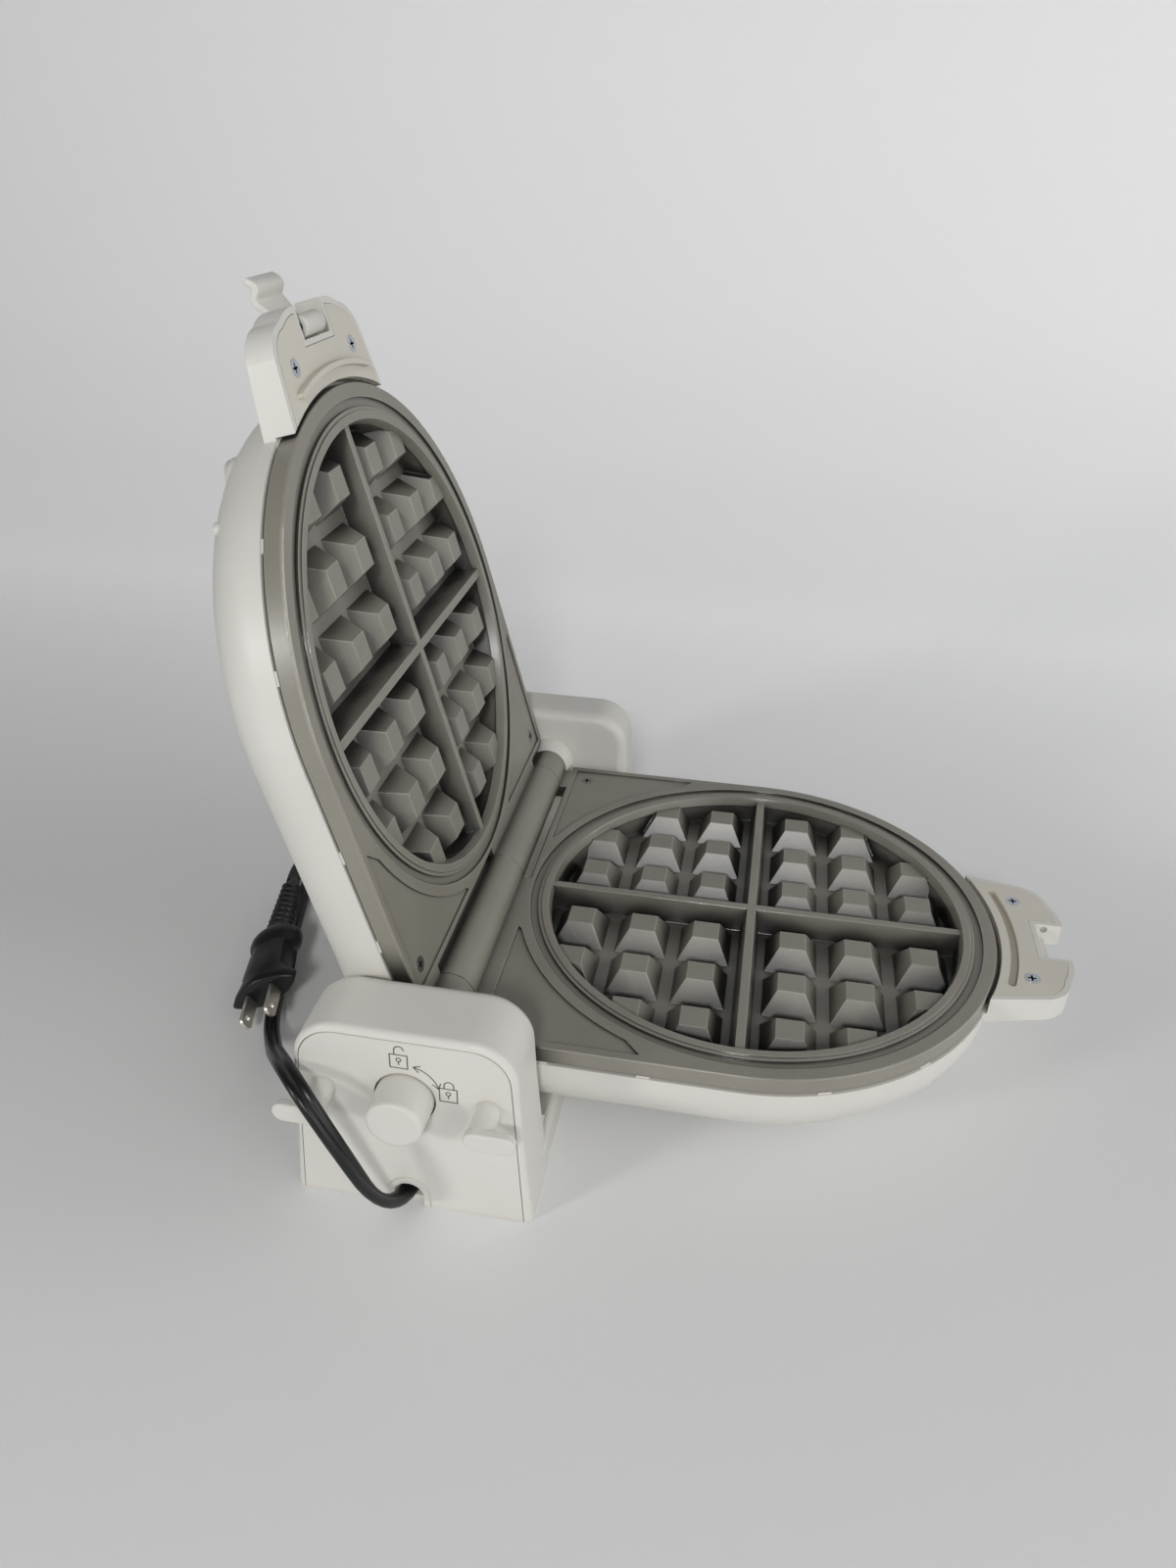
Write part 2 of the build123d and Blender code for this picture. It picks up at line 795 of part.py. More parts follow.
def latch(base):
    """The latch clip: a barrel on the lid handle's pin, an arm, and a hook for the lower ledge."""
    swing = radians(latch_open_angle)
    pivot = base.from_local_coords(Vector(latch_pivot[0], 0, latch_pivot[1]))
    along = base.x_dir * cos(swing) - base.z_dir * sin(swing)
    plane = Plane(origin=pivot, x_dir=along, z_dir=base.y_dir * -1)
    with BuildPart() as clip:
        with BuildSketch(plane):
            Circle(latch_barrel)
            Polygon(*latch_arm, align=None)
            Circle(latch_pin_radius + running_fit, mode=Mode.SUBTRACT)
        extrude(amount=latch_width / 2, both=True)
        # the arm is narrower than the head, with sloping shoulders
        with BuildSketch(Plane(origin=pivot, x_dir=plane.y_dir, z_dir=plane.x_dir)):
            for side in (-1, 1):
                Polygon(
                    (-latch_barrel - 1, side * latch_arm_half),
                    (latch_flare[0], side * latch_arm_half),
                    (latch_flare[1], side * (latch_width / 2 + 0.1)),
                    (-latch_barrel - 1, side * (latch_width / 2 + 0.1)),
                    align=None,
                )
        extrude(amount=2 * latch_barrel, both=True, mode=Mode.SUBTRACT)
    return clip.part


# Planes of the stand's sides: the near tower's outer face leans in towards its top
lean = atan2(face_lean, tower_top)
FACE = Plane(origin=(0, -near_face, 0), x_dir=(1, 0, 0), z_dir=(0, -cos(lean), sin(lean)))
face_at_hinge = near_face - hinge_height * tan(lean)
HINGE = Plane(origin=(0, 0, hinge_height), x_dir=(1, 0, 0), z_dir=(0, 0, 1))
HINGE_AXIS = Axis((0, 0, hinge_height), (0, 1, 0))


def front(y):
    """An upright plane facing -Y, with x along X and y up, its origin at table height."""
    return Plane(origin=(0, y, 0), x_dir=(1, 0, 0), z_dir=(0, -1, 0))


def tower_outline(inset):
    """The tower's side view: splayed foot, upright shoulders and a rounded top, drawn in by inset."""
    shoulder = tower_top - tower_corner
    half = tower_shoulder_half - inset
    turn = tower_corner - inset
    with BuildLine(Plane.XY) as plan:
        for side in (-1, 1):
            ThreePointArc(
                (side * (tower_foot_half - inset), 0),
                (side * (tower_waist[0] - inset), tower_waist[1]),
                (side * half, shoulder),
            )
            ThreePointArc(
                (side * half, shoulder),
                (side * (half - turn * (1 - sqrt(0.5))), shoulder + turn * sqrt(0.5)),
                (side * (half - turn), shoulder + turn),
            )
        Line((inset - tower_foot_half, 0), (tower_foot_half - inset, 0))
        Line((turn - half, shoulder + turn), (half - turn, shoulder + turn))
    return plan.edges()


def tower(side, face):
    """One tower as a solid: side is -1 for the near one and 1 for the far one."""
    outline = tower_outline(0)
    with BuildPart() as form:
        with BuildSketch(front(side * tower_inner)):
            make_face(outline)
        extrude(amount=-side * (face - tower_inner + 5))
        with BuildSketch(Plane.YZ):
            Polygon(
                (side * face, 0),
                (side * (face - face_lean), tower_top),
                (side * (face - face_lean - 0.5), tower_top + 12),
                (side * (face + 10), tower_top + 12),
                (side * (face + 10), -1),
                (side * face, -1),
                align=None,
            )
        extrude(amount=tower_foot_half + 5, both=True, mode=Mode.SUBTRACT)
        inner_face = form.faces().sort_by(Axis.Y)[0 if side > 0 else -1]
        fillet([e for e in inner_face.edges() if e.center().Z > 5], inner_round)
        outer_face = form.faces().sort_by(Axis.Y)[-1 if side > 0 else 0]
        fillet([e for e in outer_face.edges() if e.center().Z > 5], outer_round)
    return form.part


def tower_hollow(side, face, inset):
    """The room inside a tower, open below."""
    outline = tower_outline(inset)
    with BuildPart() as room:
        with BuildSketch(front(side * (tower_inner + stand_wall))):
            make_face(outline)
        extrude(amount=-side * (face - tower_inner))
        with BuildSketch(Plane.YZ):
            Polygon(
                (side * (face - stand_wall), -1),
                (side * (face - stand_wall - face_lean), tower_top),
                (side * (face + 20), tower_top),
                (side * (face + 20), -1),
                align=None,
            )
        extrude(amount=tower_foot_half, both=True, mode=Mode.SUBTRACT)
    return room.part


def face_plate_outline(grow):
    """Inside a sketch on FACE: the inset control plate, grown by grow on its sides and top."""
    Polygon(
        (-face_plate_foot_half - grow, 0),
        (face_plate_foot_half + grow, 0),
        (face_plate_top_half + grow, face_plate_top + grow),
        (-face_plate_top_half - grow, face_plate_top + grow),
        align=None,
    )


def base_recess(gap):
    """Inside a sketch on the table plane: the bottom cover's outline, drawn in by gap."""
    depth_near = near_face - face_plate_thickness - gap
    depth_far = far_face - stand_wall - gap
    with Locations((0, (depth_far - depth_near) / 2)):
        Rectangle(2 * (crossbar_half - stand_wall - gap), depth_near + depth_far)


def stand_body():
    """Two towers joined by the low crossbar, hollow from below, with the control plate's recess."""
    near = tower(-1, near_face)
    far = tower(1, far_face)
    near_room = tower_hollow(-1, near_face, stand_wall + 3)
    far_room = tower_hollow(1, far_face, stand_wall)
    near_room_front = tower_outline(stand_wall + 3)
    with BuildPart() as body:
        with BuildSketch(Plane.XY):
            Rectangle(2 * crossbar_half, 2 * (tower_inner + 10))
        extrude(amount=crossbar_height)
        fillet(body.faces().sort_by(Axis.Z)[-1].edges().filter_by(Axis.Y), crossbar_round)
        add(near)
        add(far)
        # concave corners between the crossbar and the towers
        with BuildSketch(Plane.YZ.offset(-crossbar_half + crossbar_round)):
            for side in (-1, 1):
                with BuildLine():
                    Line(
                        (side * tower_inner, crossbar_height + crossbar_fillet),
                        (side * (tower_inner + 1), crossbar_height + crossbar_fillet),
                    )
                    Line(
                        (side * (tower_inner + 1), crossbar_height + crossbar_fillet),
                        (side * (tower_inner + 1), crossbar_height - 1),
                    )
                    Line(
                        (side * (tower_inner + 1), crossbar_height - 1),
                        (side * (tower_inner - crossbar_fillet), crossbar_height - 1),
                    )
                    Line(
                        (side * (tower_inner - crossbar_fillet), crossbar_height - 1),
                        (side * (tower_inner - crossbar_fillet), crossbar_height),
                    )
                    ThreePointArc(
                        (side * (tower_inner - crossbar_fillet), crossbar_height),
                        (
                            side * (tower_inner - crossbar_fillet * (1 - sqrt(0.5))),
                            crossbar_height + crossbar_fillet * (1 - sqrt(0.5)),
                        ),
                        (side * tower_inner, crossbar_height + crossbar_fillet),
                    )
                make_face()
        extrude(amount=2 * (crossbar_half - crossbar_round))
        # rooms inside
        add(near_room, mode=Mode.SUBTRACT)
        add(far_room, mode=Mode.SUBTRACT)
        with BuildSketch(front(-tower_inner - 10)):
            make_face(near_room_front)
        extrude(amount=near_face, mode=Mode.SUBTRACT)
        with BuildSketch(Plane.XY.offset(-1)):
            Rectangle(2 * (crossbar_half - stand_wall), 2 * (tower_inner + stand_wall + 2))
        extrude(amount=crossbar_height - stand_wall + 1, mode=Mode.SUBTRACT)
        with BuildSketch(Plane.XY):
            base_recess(0)
        extrude(amount=cover_plate, mode=Mode.SUBTRACT)
        # recess of the control plate
        with BuildSketch(FACE):
            face_plate_outline(face_plate_gap)
            corners = vertices().group_by(Axis.Y)[-1]
            fillet(corners, face_plate_corner)
        extrude(amount=-face_plate_thickness, mode=Mode.SUBTRACT)
        # bores for the hinge bushes
        with BuildSketch(front(0)):
            with Locations((0, hinge_height)):
                Circle(bush_spigot_radius + fixed_fit)
        extrude(amount=tower_inner + stand_wall + 1, both=True, mode=Mode.SUBTRACT)
        # posts for the bottom cover's screws, webbed to the walls
        with BuildSketch(Plane.XY.offset(cover_plate)):
            with Locations(*base_screw_places):
                Circle(boss_radius)
            for x, y in base_screw_places:
                if y:
                    reach = abs(y) - tower_inner - stand_wall + 1
                    with Locations((x, (abs(y) - reach / 2) * (1 if y > 0 else -1))):
                        Rectangle(stand_wall, reach)
        extrude(amount=crossbar_height - stand_wall - cover_plate + 0.5)
        with BuildSketch(Plane.XY.offset(cover_plate)):
            with Locations(*base_screw_places):
                Circle(screw_radius)
        extrude(amount=screw_length - cover_plate + 0.5, mode=Mode.SUBTRACT)
    return body.part


def arch(half, top):
    """Inside a sketch: an upright slot with a round head, standing on the sketch's x axis."""
    with Locations((slot_centre, 0)):
        with Locations((0, top - half)):
            Circle(half)
        with Locations((0, (top - half) / 2)):
            Rectangle(2 * half, top - half)


def control_face():
    """The inset plate of the near tower, with holes for the knob, the wrap pegs and the gland."""
    with BuildPart() as plate:
        with BuildSketch(FACE):
            face_plate_outline(0)
            fillet(vertices().group_by(Axis.Y)[-1], face_plate_corner)
        extrude(amount=-face_plate_thickness)
        with BuildSketch(front(-near_face + 20)):
            with Locations((0, hinge_height)):
                Circle(knob_base_radius + knob_gap)
            with Locations((-wrap_peg_place, hinge_height), (wrap_peg_place, hinge_height)):
                Circle(wrap_spigot_radius + fixed_fit)
            arch(slot_half + slot_wall + fixed_fit, slot_top + slot_wall + fixed_fit)
            with Locations((slot_centre, -1)):
                Rectangle(2 * (slot_half + slot_wall + fixed_fit), 4)
        extrude(amount=30, mode=Mode.SUBTRACT)
    return plate.part


def cord_gland():
    """The arched surround of the cord slot, with an inner web that grips the cord."""
    with BuildPart() as gland:
        with BuildSketch(front(-near_face + gland_depth)):
            arch(slot_half + slot_wall, slot_top + slot_wall)
        extrude(amount=gland_depth + 0.4)
        with BuildSketch(front(-near_face + gland_web)):
            arch(slot_half, slot_top)
        extrude(amount=20, mode=Mode.SUBTRACT)
        with BuildSketch(front(-near_face + 20)):
            with Locations((slot_centre, cord_start_height)):
                Circle(cord_radius)
        extrude(amount=20, mode=Mode.SUBTRACT)
        with BuildSketch(Plane.XY.offset(cover_plate_gap)):
            with Locations((slot_centre, -near_face)):
                Rectangle(40, 60)
        extrude(amount=-10, mode=Mode.SUBTRACT)
        with BuildSketch(Plane.XY.offset(-1)):
            with Locations((slot_centre, -near_face + face_plate_thickness + 30)):
                Rectangle(40, 60)
        extrude(amount=cover_plate + cover_plate_gap + 1, mode=Mode.SUBTRACT)
    return gland.part


def bottom_cover():
    """The plate that closes the stand from below, flush with the rest face."""
    with BuildPart() as plate:
        with BuildSketch(Plane.XY):
            base_recess(cover_plate_gap)
        extrude(amount=cover_plate)
        with Locations(*[Plane(origin=(x, y, 0), z_dir=(0, 0, -1)) for x, y in base_screw_places]):
            CounterSinkHole(
                radius=screw_radius + screw_clearance,
                counter_sink_radius=screw_head_radius + screw_clearance,
                depth=cover_plate,
            )
        with BuildSketch(Plane.XY):
            with Locations(*base_pad_places):
                Circle(base_pad_radius)
        extrude(amount=base_pad_depth, mode=Mode.SUBTRACT)
    return plate.part


def base_pads():
    with BuildPart() as pads:
        with BuildSketch(Plane.XY):
            with Locations(*base_pad_places):
                Circle(base_pad_radius - 0.1)
        extrude(amount=base_pad_depth)
    return pads.part


def turned(points):
    """A piece turned about the hinge axis from its half section, given as radius and y."""
    with BuildPart() as piece:
        with BuildSketch(HINGE):
            Polygon(*points, align=None)
        revolve(axis=HINGE_AXIS)
    return piece.part


def bush(side):
    bore = pin_radius + running_fit
    end = tower_inner + bush_spigot_length
    return turned(
        [
            (bore, side * bush_face),
            (bush_tip_radius, side * bush_face),
            (bush_root_radius, side * tower_inner),
            (bush_spigot_radius, side * tower_inner),
            (bush_spigot_radius, side * end),
            (bore, side * end),
        ]
    )


def hinge_pin(side, end):
    edge = 0.5
    return turned(
        [
            (0, side * pin_inner_end),
            (pin_radius - edge, side * pin_inner_end),
            (pin_radius, side * (pin_inner_end + edge)),
            (pin_radius, side * (end - edge)),
            (pin_radius - edge, side * end),
            (0, side * end),
        ]
    )


def lock_collar():
    """The slotted collar on the near pin's end, which the knob's stem faces."""
    with BuildPart() as collar:
        with BuildSketch(front(-near_pin_end + collar_thickness)):
            with Locations((0, hinge_height)):
                Circle(collar_radius)
                Circle(pin_radius + fixed_fit, mode=Mode.SUBTRACT)
                with Locations((0, collar_radius)):
                    Rectangle(collar_slot, 2 * (collar_radius - pin_radius - 1.2), mode=Mode.SUBTRACT)
        extrude(amount=collar_thickness)
    return collar.part


def knob():
    """The round push-and-turn knob, hollow behind, with a boss for its stem."""
    base = -(face_at_hinge - knob_skirt)
    tip = -(face_at_hinge + knob_reach)
    edge = 1.2
    return turned(
        [
            (stem_radius + fixed_fit, base + 1.0),
            (stem_radius + 2, base + 1.0),
            (stem_radius + 2, tip + knob_wall),
            (knob_tip_radius - knob_wall, tip + knob_wall),
            (knob_base_radius - knob_wall, base),
            (knob_base_radius, base),
            (knob_tip_radius, tip + edge),
            (knob_tip_radius - edge * 0.3, tip + edge * 0.3),
            (knob_tip_radius - edge, tip),
            (0, tip),
            (0, tip + knob_wall),
            (stem_radius + fixed_fit, tip + knob_wall),
        ]
    )


def knob_stem():
    tip = -(face_at_hinge + knob_reach) + knob_wall
    return turned([(0, tip), (stem_radius, tip), (stem_radius, -stem_inner_end), (0, -stem_inner_end)])


guide_mouth = face_at_hinge - face_plate_thickness
guide_floor = guide_mouth - guide_depth


def stem_guide():
    """The cup behind the control plate that carries the stem and seats the spring."""
    with BuildPart() as cup:
        with BuildSketch(HINGE):
            Polygon(
                (stem_radius + running_fit, -guide_floor),
                (guide_radius, -guide_floor),
                (guide_radius, -guide_mouth + guide_wall),
                (guide_flange, -guide_mouth + guide_wall),
                (guide_flange, -guide_mouth - 3),
                (guide_radius - guide_wall, -guide_mouth - 3),
                (guide_radius - guide_wall, -guide_floor - guide_wall),
                (stem_radius + running_fit, -guide_floor - guide_wall),
                align=None,
            )
        revolve(axis=HINGE_AXIS)
        split(bisect_by=FACE.offset(-face_plate_thickness), keep=Keep.BOTTOM)
    return cup.part


def stem_clip():
    near_side = guide_floor - 0.3
    return turned(
        [
            (stem_radius + fixed_fit, -near_side),
            (clip_radius, -near_side),
            (clip_radius, -near_side + clip_thickness),
            (stem_radius + fixed_fit, -near_side + clip_thickness),
        ]
    )


washer_face = face_at_hinge - knob_skirt - 1.0


def spring_washer():
    return turned(
        [
            (stem_radius + running_fit, -washer_face + 0.1),
            (spring_radius + 1, -washer_face + 0.1),
            (spring_radius + 1, -washer_face + 0.1 + spring_wire),
            (stem_radius + running_fit, -washer_face + 0.1 + spring_wire),
        ]
    )


def knob_spring():
    """The wire spring between the washer and the cup's floor."""
    start = -washer_face + 0.1 + 2 * spring_wire + spring_wire + 0.1
    end = -guide_floor - guide_wall - spring_wire - 0.1
    frame = Plane(origin=(0, start, hinge_height), x_dir=(1, 0, 0), z_dir=(0, 1, 0))
    coil = Helix(pitch=(end - start) / spring_turns, height=end - start, radius=spring_radius)
    path = frame.location * coil
    with BuildPart() as spring:
        with BuildSketch(Plane(origin=path @ 0, z_dir=path % 0)):
            Circle(spring_wire)
        sweep(path=path)
    return spring.part


def wrap_peg(side):
    """A peg with a lozenge tongue to wind the cord on, seated on the leaning face."""
    with BuildPart() as peg:
        with BuildSketch(front(-face_at_hinge + 5)):
            with Locations((side * wrap_peg_place, hinge_height)):
                Circle(wrap_peg_radius)
        extrude(amount=wrap_peg_reach + 5)
        split(bisect_by=FACE, keep=Keep.TOP)
        with BuildSketch(front(-face_at_hinge - wrap_peg_reach)):
            with Locations((side * (wrap_peg_place + tongue_offset), hinge_height)):
                SlotOverall(tongue_length, tongue_height)
        extrude(amount=tongue_thickness)
        fillet(peg.faces().sort_by(Axis.Y)[0].edges(), 0.8)
        with BuildSketch(front(-face_at_hinge + face_plate_thickness)):
            with Locations((side * wrap_peg_place, hinge_height)):
                Circle(wrap_spigot_radius)
        extrude(amount=face_plate_thickness + 1)
    return peg.part


def latch_pin(base):
    with BuildPart() as pin:
        with BuildSketch(side_plane(base)):
            with Locations(latch_pivot):
                Circle(latch_pin_radius)
        extrude(amount=latch_pin_length / 2, both=True)
    return pin.part


def cord_tube(path):
    with BuildPart() as tube:
        with BuildSketch(Plane(origin=path @ 0, z_dir=path % 0)):
            Circle(cord_radius)
        sweep(path=path)
    return tube.part


def bend_radii(points):
    """For each corner, the largest neat bend that leaves part of both runs straight."""
    radii = []
    for before, corner, after in zip(points, points[1:], points[2:]):
        one = Vector(*corner) - Vector(*before)
        two = Vector(*after) - Vector(*corner)
        half_turn = radians(one.get_angle(two)) / 2
        radii.append(0.45 * min(one.length, two.length) / tan(half_turn))
    return radii


def rounded_path(points):
    radii = bend_radii(points)
    print("bends", [round(r) for r in radii])
    with BuildLine(Plane.XY) as route:
        FilletPolyline(*points, radius=radii)
    return route.wire()


def coil_path():
    """The put-away coil: flat turns wound inwards, a climb along a run, and the way out on top."""
    level = cord_route[-1][2]
    left = cord_route[-1][0]
    x = left
    with BuildLine(Plane.XY) as route:
        Line(cord_route[-1], (left, coil_south, level))
        radius = coil_first_radius
        for k in range(coil_half_turns):
            heading = 1 if k % 2 == 0 else -1
            y = coil_north if heading > 0 else coil_south
            far_x = x + heading * 2 * radius
            ThreePointArc((x, y, level), (x + heading * radius, y + heading * radius, level), (far_x, y, level))
            if k < coil_half_turns - 1:
                Line((far_x, y, level), (far_x, coil_south if heading > 0 else coil_north, level))
            if k == 0:
                Line((left, coil_south, level), (left, coil_north, level))
            x = far_x
            radius -= coil_pitch / 2
        middle = (coil_south + coil_north) / 2
        half_run = (coil_north - coil_south) / 2
        climb_radius = (half_run**2 + (coil_rise / 2) ** 2) / coil_rise
        turn = atan2(half_run, climb_radius - coil_rise / 2)
        ThreePointArc(
            (x, coil_north, level),
            (x, coil_north - climb_radius * sin(turn / 2), level + climb_radius * (1 - cos(turn / 2))),
            (x, middle, level + coil_rise / 2),
        )
        top = level + coil_rise
        ThreePointArc(
            (x, middle, level + coil_rise / 2),
            (x, coil_south + climb_radius * sin(turn / 2), top - climb_radius * (1 - cos(turn / 2))),
            (x, coil_south, top),
        )
        ThreePointArc(
            (x, coil_south, top),
            (x - radius * (1 - sqrt(0.5)), coil_south - radius * sqrt(0.5), top),
            (x - radius, coil_south - radius, top),
        )
    return route.wire()


plug_face = Vector(
    plug_tip[0] + blade_length * plug_heading[0], plug_tip[1] + blade_length * plug_heading[1], plug_height
)
PLUG = Plane(origin=plug_face, x_dir=(plug_heading[0], plug_heading[1], 0), z_dir=(0, 0, 1))
relief_end = PLUG.from_local_coords(Vector(body_length + relief_length, 0, 0))


def plug_body():
    """The moulded plug: a block with finger grips and a ribbed strain relief."""
    with BuildPart() as body:
        with BuildSketch(PLUG.offset(-plug_half_height)):
            with BuildLine():
                Line((0, -plug_half_width), (0, plug_half_width))
                for side in (-1, 1):
                    Line((0, side * plug_half_width), (plug_waist_place - 8, side * plug_half_width))
                    ThreePointArc(
                        (plug_waist_place - 8, side * plug_half_width),
                        (plug_waist_place, side * plug_waist_half),
                        (plug_waist_place + 8, side * (plug_half_width + 1)),
                    )
                    ThreePointArc(
                        (plug_waist_place + 8, side * (plug_half_width + 1)),
                        (plug_waist_place + 11, side * (plug_half_width + 1.8)),
                        (body_length - 4, side * (plug_half_width - 1)),
                    )
                    Line((body_length - 4, side * (plug_half_width - 1)), (body_length, side * relief_root * 1.2))
                Line((body_length, -relief_root * 1.2), (body_length, relief_root * 1.2))
            make_face()
        extrude(amount=2 * plug_half_height)
        fillet(body.edges().filter_by(Axis.Z), 1.0)
        fillet(body.faces().sort_by(Axis.Z)[-1].edges(), 1.5)
        # ribbed relief, turned about the plug's own axis
        step = relief_length / relief_ribs
        with BuildSketch(PLUG):
            with BuildLine():
                points = [(body_length - 1, 0), (body_length - 1, relief_root)]
                for k in range(relief_ribs):
                    here = body_length + k * step
                    high = relief_root + (relief_tip - relief_root) * k / relief_ribs
                    points += [(here, high), (here + 0.6 * step, high), (here + 0.6 * step, high - relief_groove)]
                    points += [(here + step, high - relief_groove)]
                points += [(body_length + relief_length, 0)]
                Polyline(*points, close=True)
            make_face()
        revolve(axis=Axis(PLUG.origin, PLUG.x_dir))
        for side in (-1, 1):
            with BuildSketch(end_plane(PLUG, -0.5)):
                with Locations((side * blade_pitch / 2, 0)):
                    Rectangle(blade_thickness, blade_width)
            extrude(amount=blade_sunk + 0.5, mode=Mode.SUBTRACT)
    return body.part


def plug_blades():
    """Two flat parallel blades with holes near their rounded tips."""
    with BuildPart() as blades:
        for side in (-1, 1):
            with BuildSketch(side_plane(PLUG, side * blade_pitch / 2)):
                with Locations(((blade_sunk - blade_length) / 2, 0)):
                    RectangleRounded(blade_length + blade_sunk, blade_width, 1.5)
                with Locations((4.5 - blade_length, 0)):
                    Circle(1.6, mode=Mode.SUBTRACT)
            extrude(amount=blade_thickness / 2, both=True)
    return blades.part


cord_stretch_path = rounded_path(cord_route)
coil_turns = coil_path()
coil_out = coil_turns @ 1
exit_points = (
    tuple(coil_out),
    (coil_out.X - coil_tail, coil_out.Y, coil_out.Z),
    coil_exit,
    tuple(PLUG.from_local_coords(Vector(body_length + relief_length + plug_lead, 0, 0))),
    tuple(relief_end),
)
coil_way_out = rounded_path(exit_points)
coil_whole = Wire([*coil_turns.edges(), *coil_way_out.edges()])


def least_gap(path, thickness, apart):
    """The least distance between the surfaces of stretches that are not neighbours along the path."""
    count = int(path.length / 2)
    points = [path @ (i / count) for i in range(count + 1)]
    skip = int(apart / 2)
    return min(
        (points[i] - points[j]).length - thickness
        for i in range(len(points))
        for j in range(i + skip, len(points))
    )


print("cord stretch", round(cord_stretch_path.length), "coil", round(coil_whole.length))
print("coil's least gap to itself", round(least_gap(coil_whole, 2 * cord_radius, 30), 2))

pieces = {
    "stand_body": stand_body(),
    "control_face": control_face(),
    "bottom_cover": bottom_cover(),
    "base_pads": base_pads(),
    "base_screws": countersunk_screws([Plane(origin=(x, y, 0), z_dir=(0, 0, -1)) for x, y in base_screw_places]),
    "wrap_peg_left": wrap_peg(-1),
    "wrap_peg_right": wrap_peg(1),
    "cord_gland": cord_gland(),
    "bush_near": bush(-1),
    "bush_far": bush(1),
    "stem_guide": stem_guide(),
    "knob_spring": knob_spring(),
    "spring_washer": spring_washer(),
    "knob": knob(),
    "knob_stem": knob_stem(),
    "stem_clip": stem_clip(),
    "hinge_pin_near": hinge_pin(-1, near_pin_end),
    "hinge_pin_far": hinge_pin(1, far_pin_end),
    "lock_collar": lock_collar(),
    "latch": latch(UPPER),
    "latch_pin": latch_pin(UPPER),
    "cord_stretch": cord_tube(cord_stretch_path),
    "cord_coil": cord_tube(coil_whole),
    "plug_body": plug_body(),
    "plug_blades": plug_blades(),
}
for name, base, bore_fit, ledge_end, ribbed in (
    ("lower", LOWER, fixed_fit, lower_ledge_end, False),
    ("upper", UPPER, running_fit, upper_ledge_end, True),
):
    land = -(face_gap + land_drop)
    pieces[name + "_shell"] = shell(base, ledge_end)
    pieces[name + "_plate"] = waffle_plate(base, bore_fit)
    pieces[name + "_handle_cover"] = handle_cover(base, ribbed)
    pieces[name + "_handle_screws"] = countersunk_screws(paired(base, handle_screw_place, -cover_top))
    pieces[name + "_plate_screws"] = countersunk_screws(paired(base, plate_screw_place, land - panel_depth))
    pieces[name + "_element"] = heating_element(base)
    pieces[name + "_element_clamps"] = element_clamps(base)
    pieces[name + "_thermostat"] = thermostat(base)
    pieces[name + "_foot_pad"] = foot_pad(base)

for name, part in pieces.items():
    part.label = name
    export_step(part, f"parts/{name}.step")
    solids = part.solids()
    print(name, part.is_valid, len(solids), round(sum(s.volume for s in solids)))
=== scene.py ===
# %% [markdown]
# # A flip waffle maker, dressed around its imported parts
# The solids come in as a fixed frame, one object for each real piece, already in place and in
# metres. This script gives every piece its finish, and it models again the pieces that show
# finer forms than their solids: the supply cord, the plug and its blades, the knob's spring and
# the latch clip. The printed signs are added on the control face.

from math import cos, pi, radians, sin

import bpy
import bmesh
from mathutils import Matrix, Vector


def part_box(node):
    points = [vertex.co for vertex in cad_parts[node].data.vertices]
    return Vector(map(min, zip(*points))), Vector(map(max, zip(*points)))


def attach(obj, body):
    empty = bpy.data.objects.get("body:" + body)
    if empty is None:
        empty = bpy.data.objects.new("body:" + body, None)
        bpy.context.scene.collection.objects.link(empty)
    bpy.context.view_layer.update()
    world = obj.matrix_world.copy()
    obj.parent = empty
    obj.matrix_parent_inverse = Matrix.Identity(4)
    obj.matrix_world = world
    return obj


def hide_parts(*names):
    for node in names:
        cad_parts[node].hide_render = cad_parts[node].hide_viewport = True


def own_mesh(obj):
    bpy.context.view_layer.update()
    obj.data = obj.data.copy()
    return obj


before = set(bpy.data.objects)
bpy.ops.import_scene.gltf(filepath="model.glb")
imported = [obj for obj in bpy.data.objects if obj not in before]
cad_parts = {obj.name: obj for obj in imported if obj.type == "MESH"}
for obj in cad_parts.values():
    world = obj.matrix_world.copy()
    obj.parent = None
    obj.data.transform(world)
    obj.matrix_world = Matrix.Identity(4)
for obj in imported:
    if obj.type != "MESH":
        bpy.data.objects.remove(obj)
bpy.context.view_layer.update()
MM = 0.001
print("pieces in the frame:", len(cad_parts))

# %% [markdown]
# ## Camera
# The photograph looks down on the open appliance from the side of the knob. Its camera was
# worked out from the round grids and the hinge line, so it is given as a place, three turns and
# a focal length instead of being aimed by eye.

# %% Camera at the photograph's angle
camera_place = Vector((0.1043, -0.3834, 0.3368))
camera_yaw = radians(9.75)
camera_pitch = radians(30.93)
camera_roll = radians(1.1)
focal_length_pixels = 1106.4
photo_height_pixels = 1600
sensor_height = 36

forward = Vector(
    (-sin(camera_yaw) * cos(camera_pitch), cos(camera_yaw) * cos(camera_pitch), -sin(camera_pitch))
)
level_right = Vector((cos(camera_yaw), sin(camera_yaw), 0))
level_up = level_right.cross(forward)
right = cos(camera_roll) * level_right + sin(camera_roll) * level_up
up = cos(camera_roll) * level_up - sin(camera_roll) * level_right

camera_data = bpy.data.cameras.new("camera")
camera_data.sensor_fit = "VERTICAL"
camera_data.sensor_height = sensor_height
camera_data.lens = focal_length_pixels / photo_height_pixels * sensor_height
camera_data.clip_start = 0.01
camera = bpy.data.objects.new("camera", camera_data)
bpy.context.collection.objects.link(camera)
axes = Matrix((right, up, -forward)).transposed().to_4x4()
camera.matrix_world = Matrix.Translation(camera_place) @ axes
bpy.context.scene.camera = camera
print("lens in mm:", round(camera_data.lens, 2))

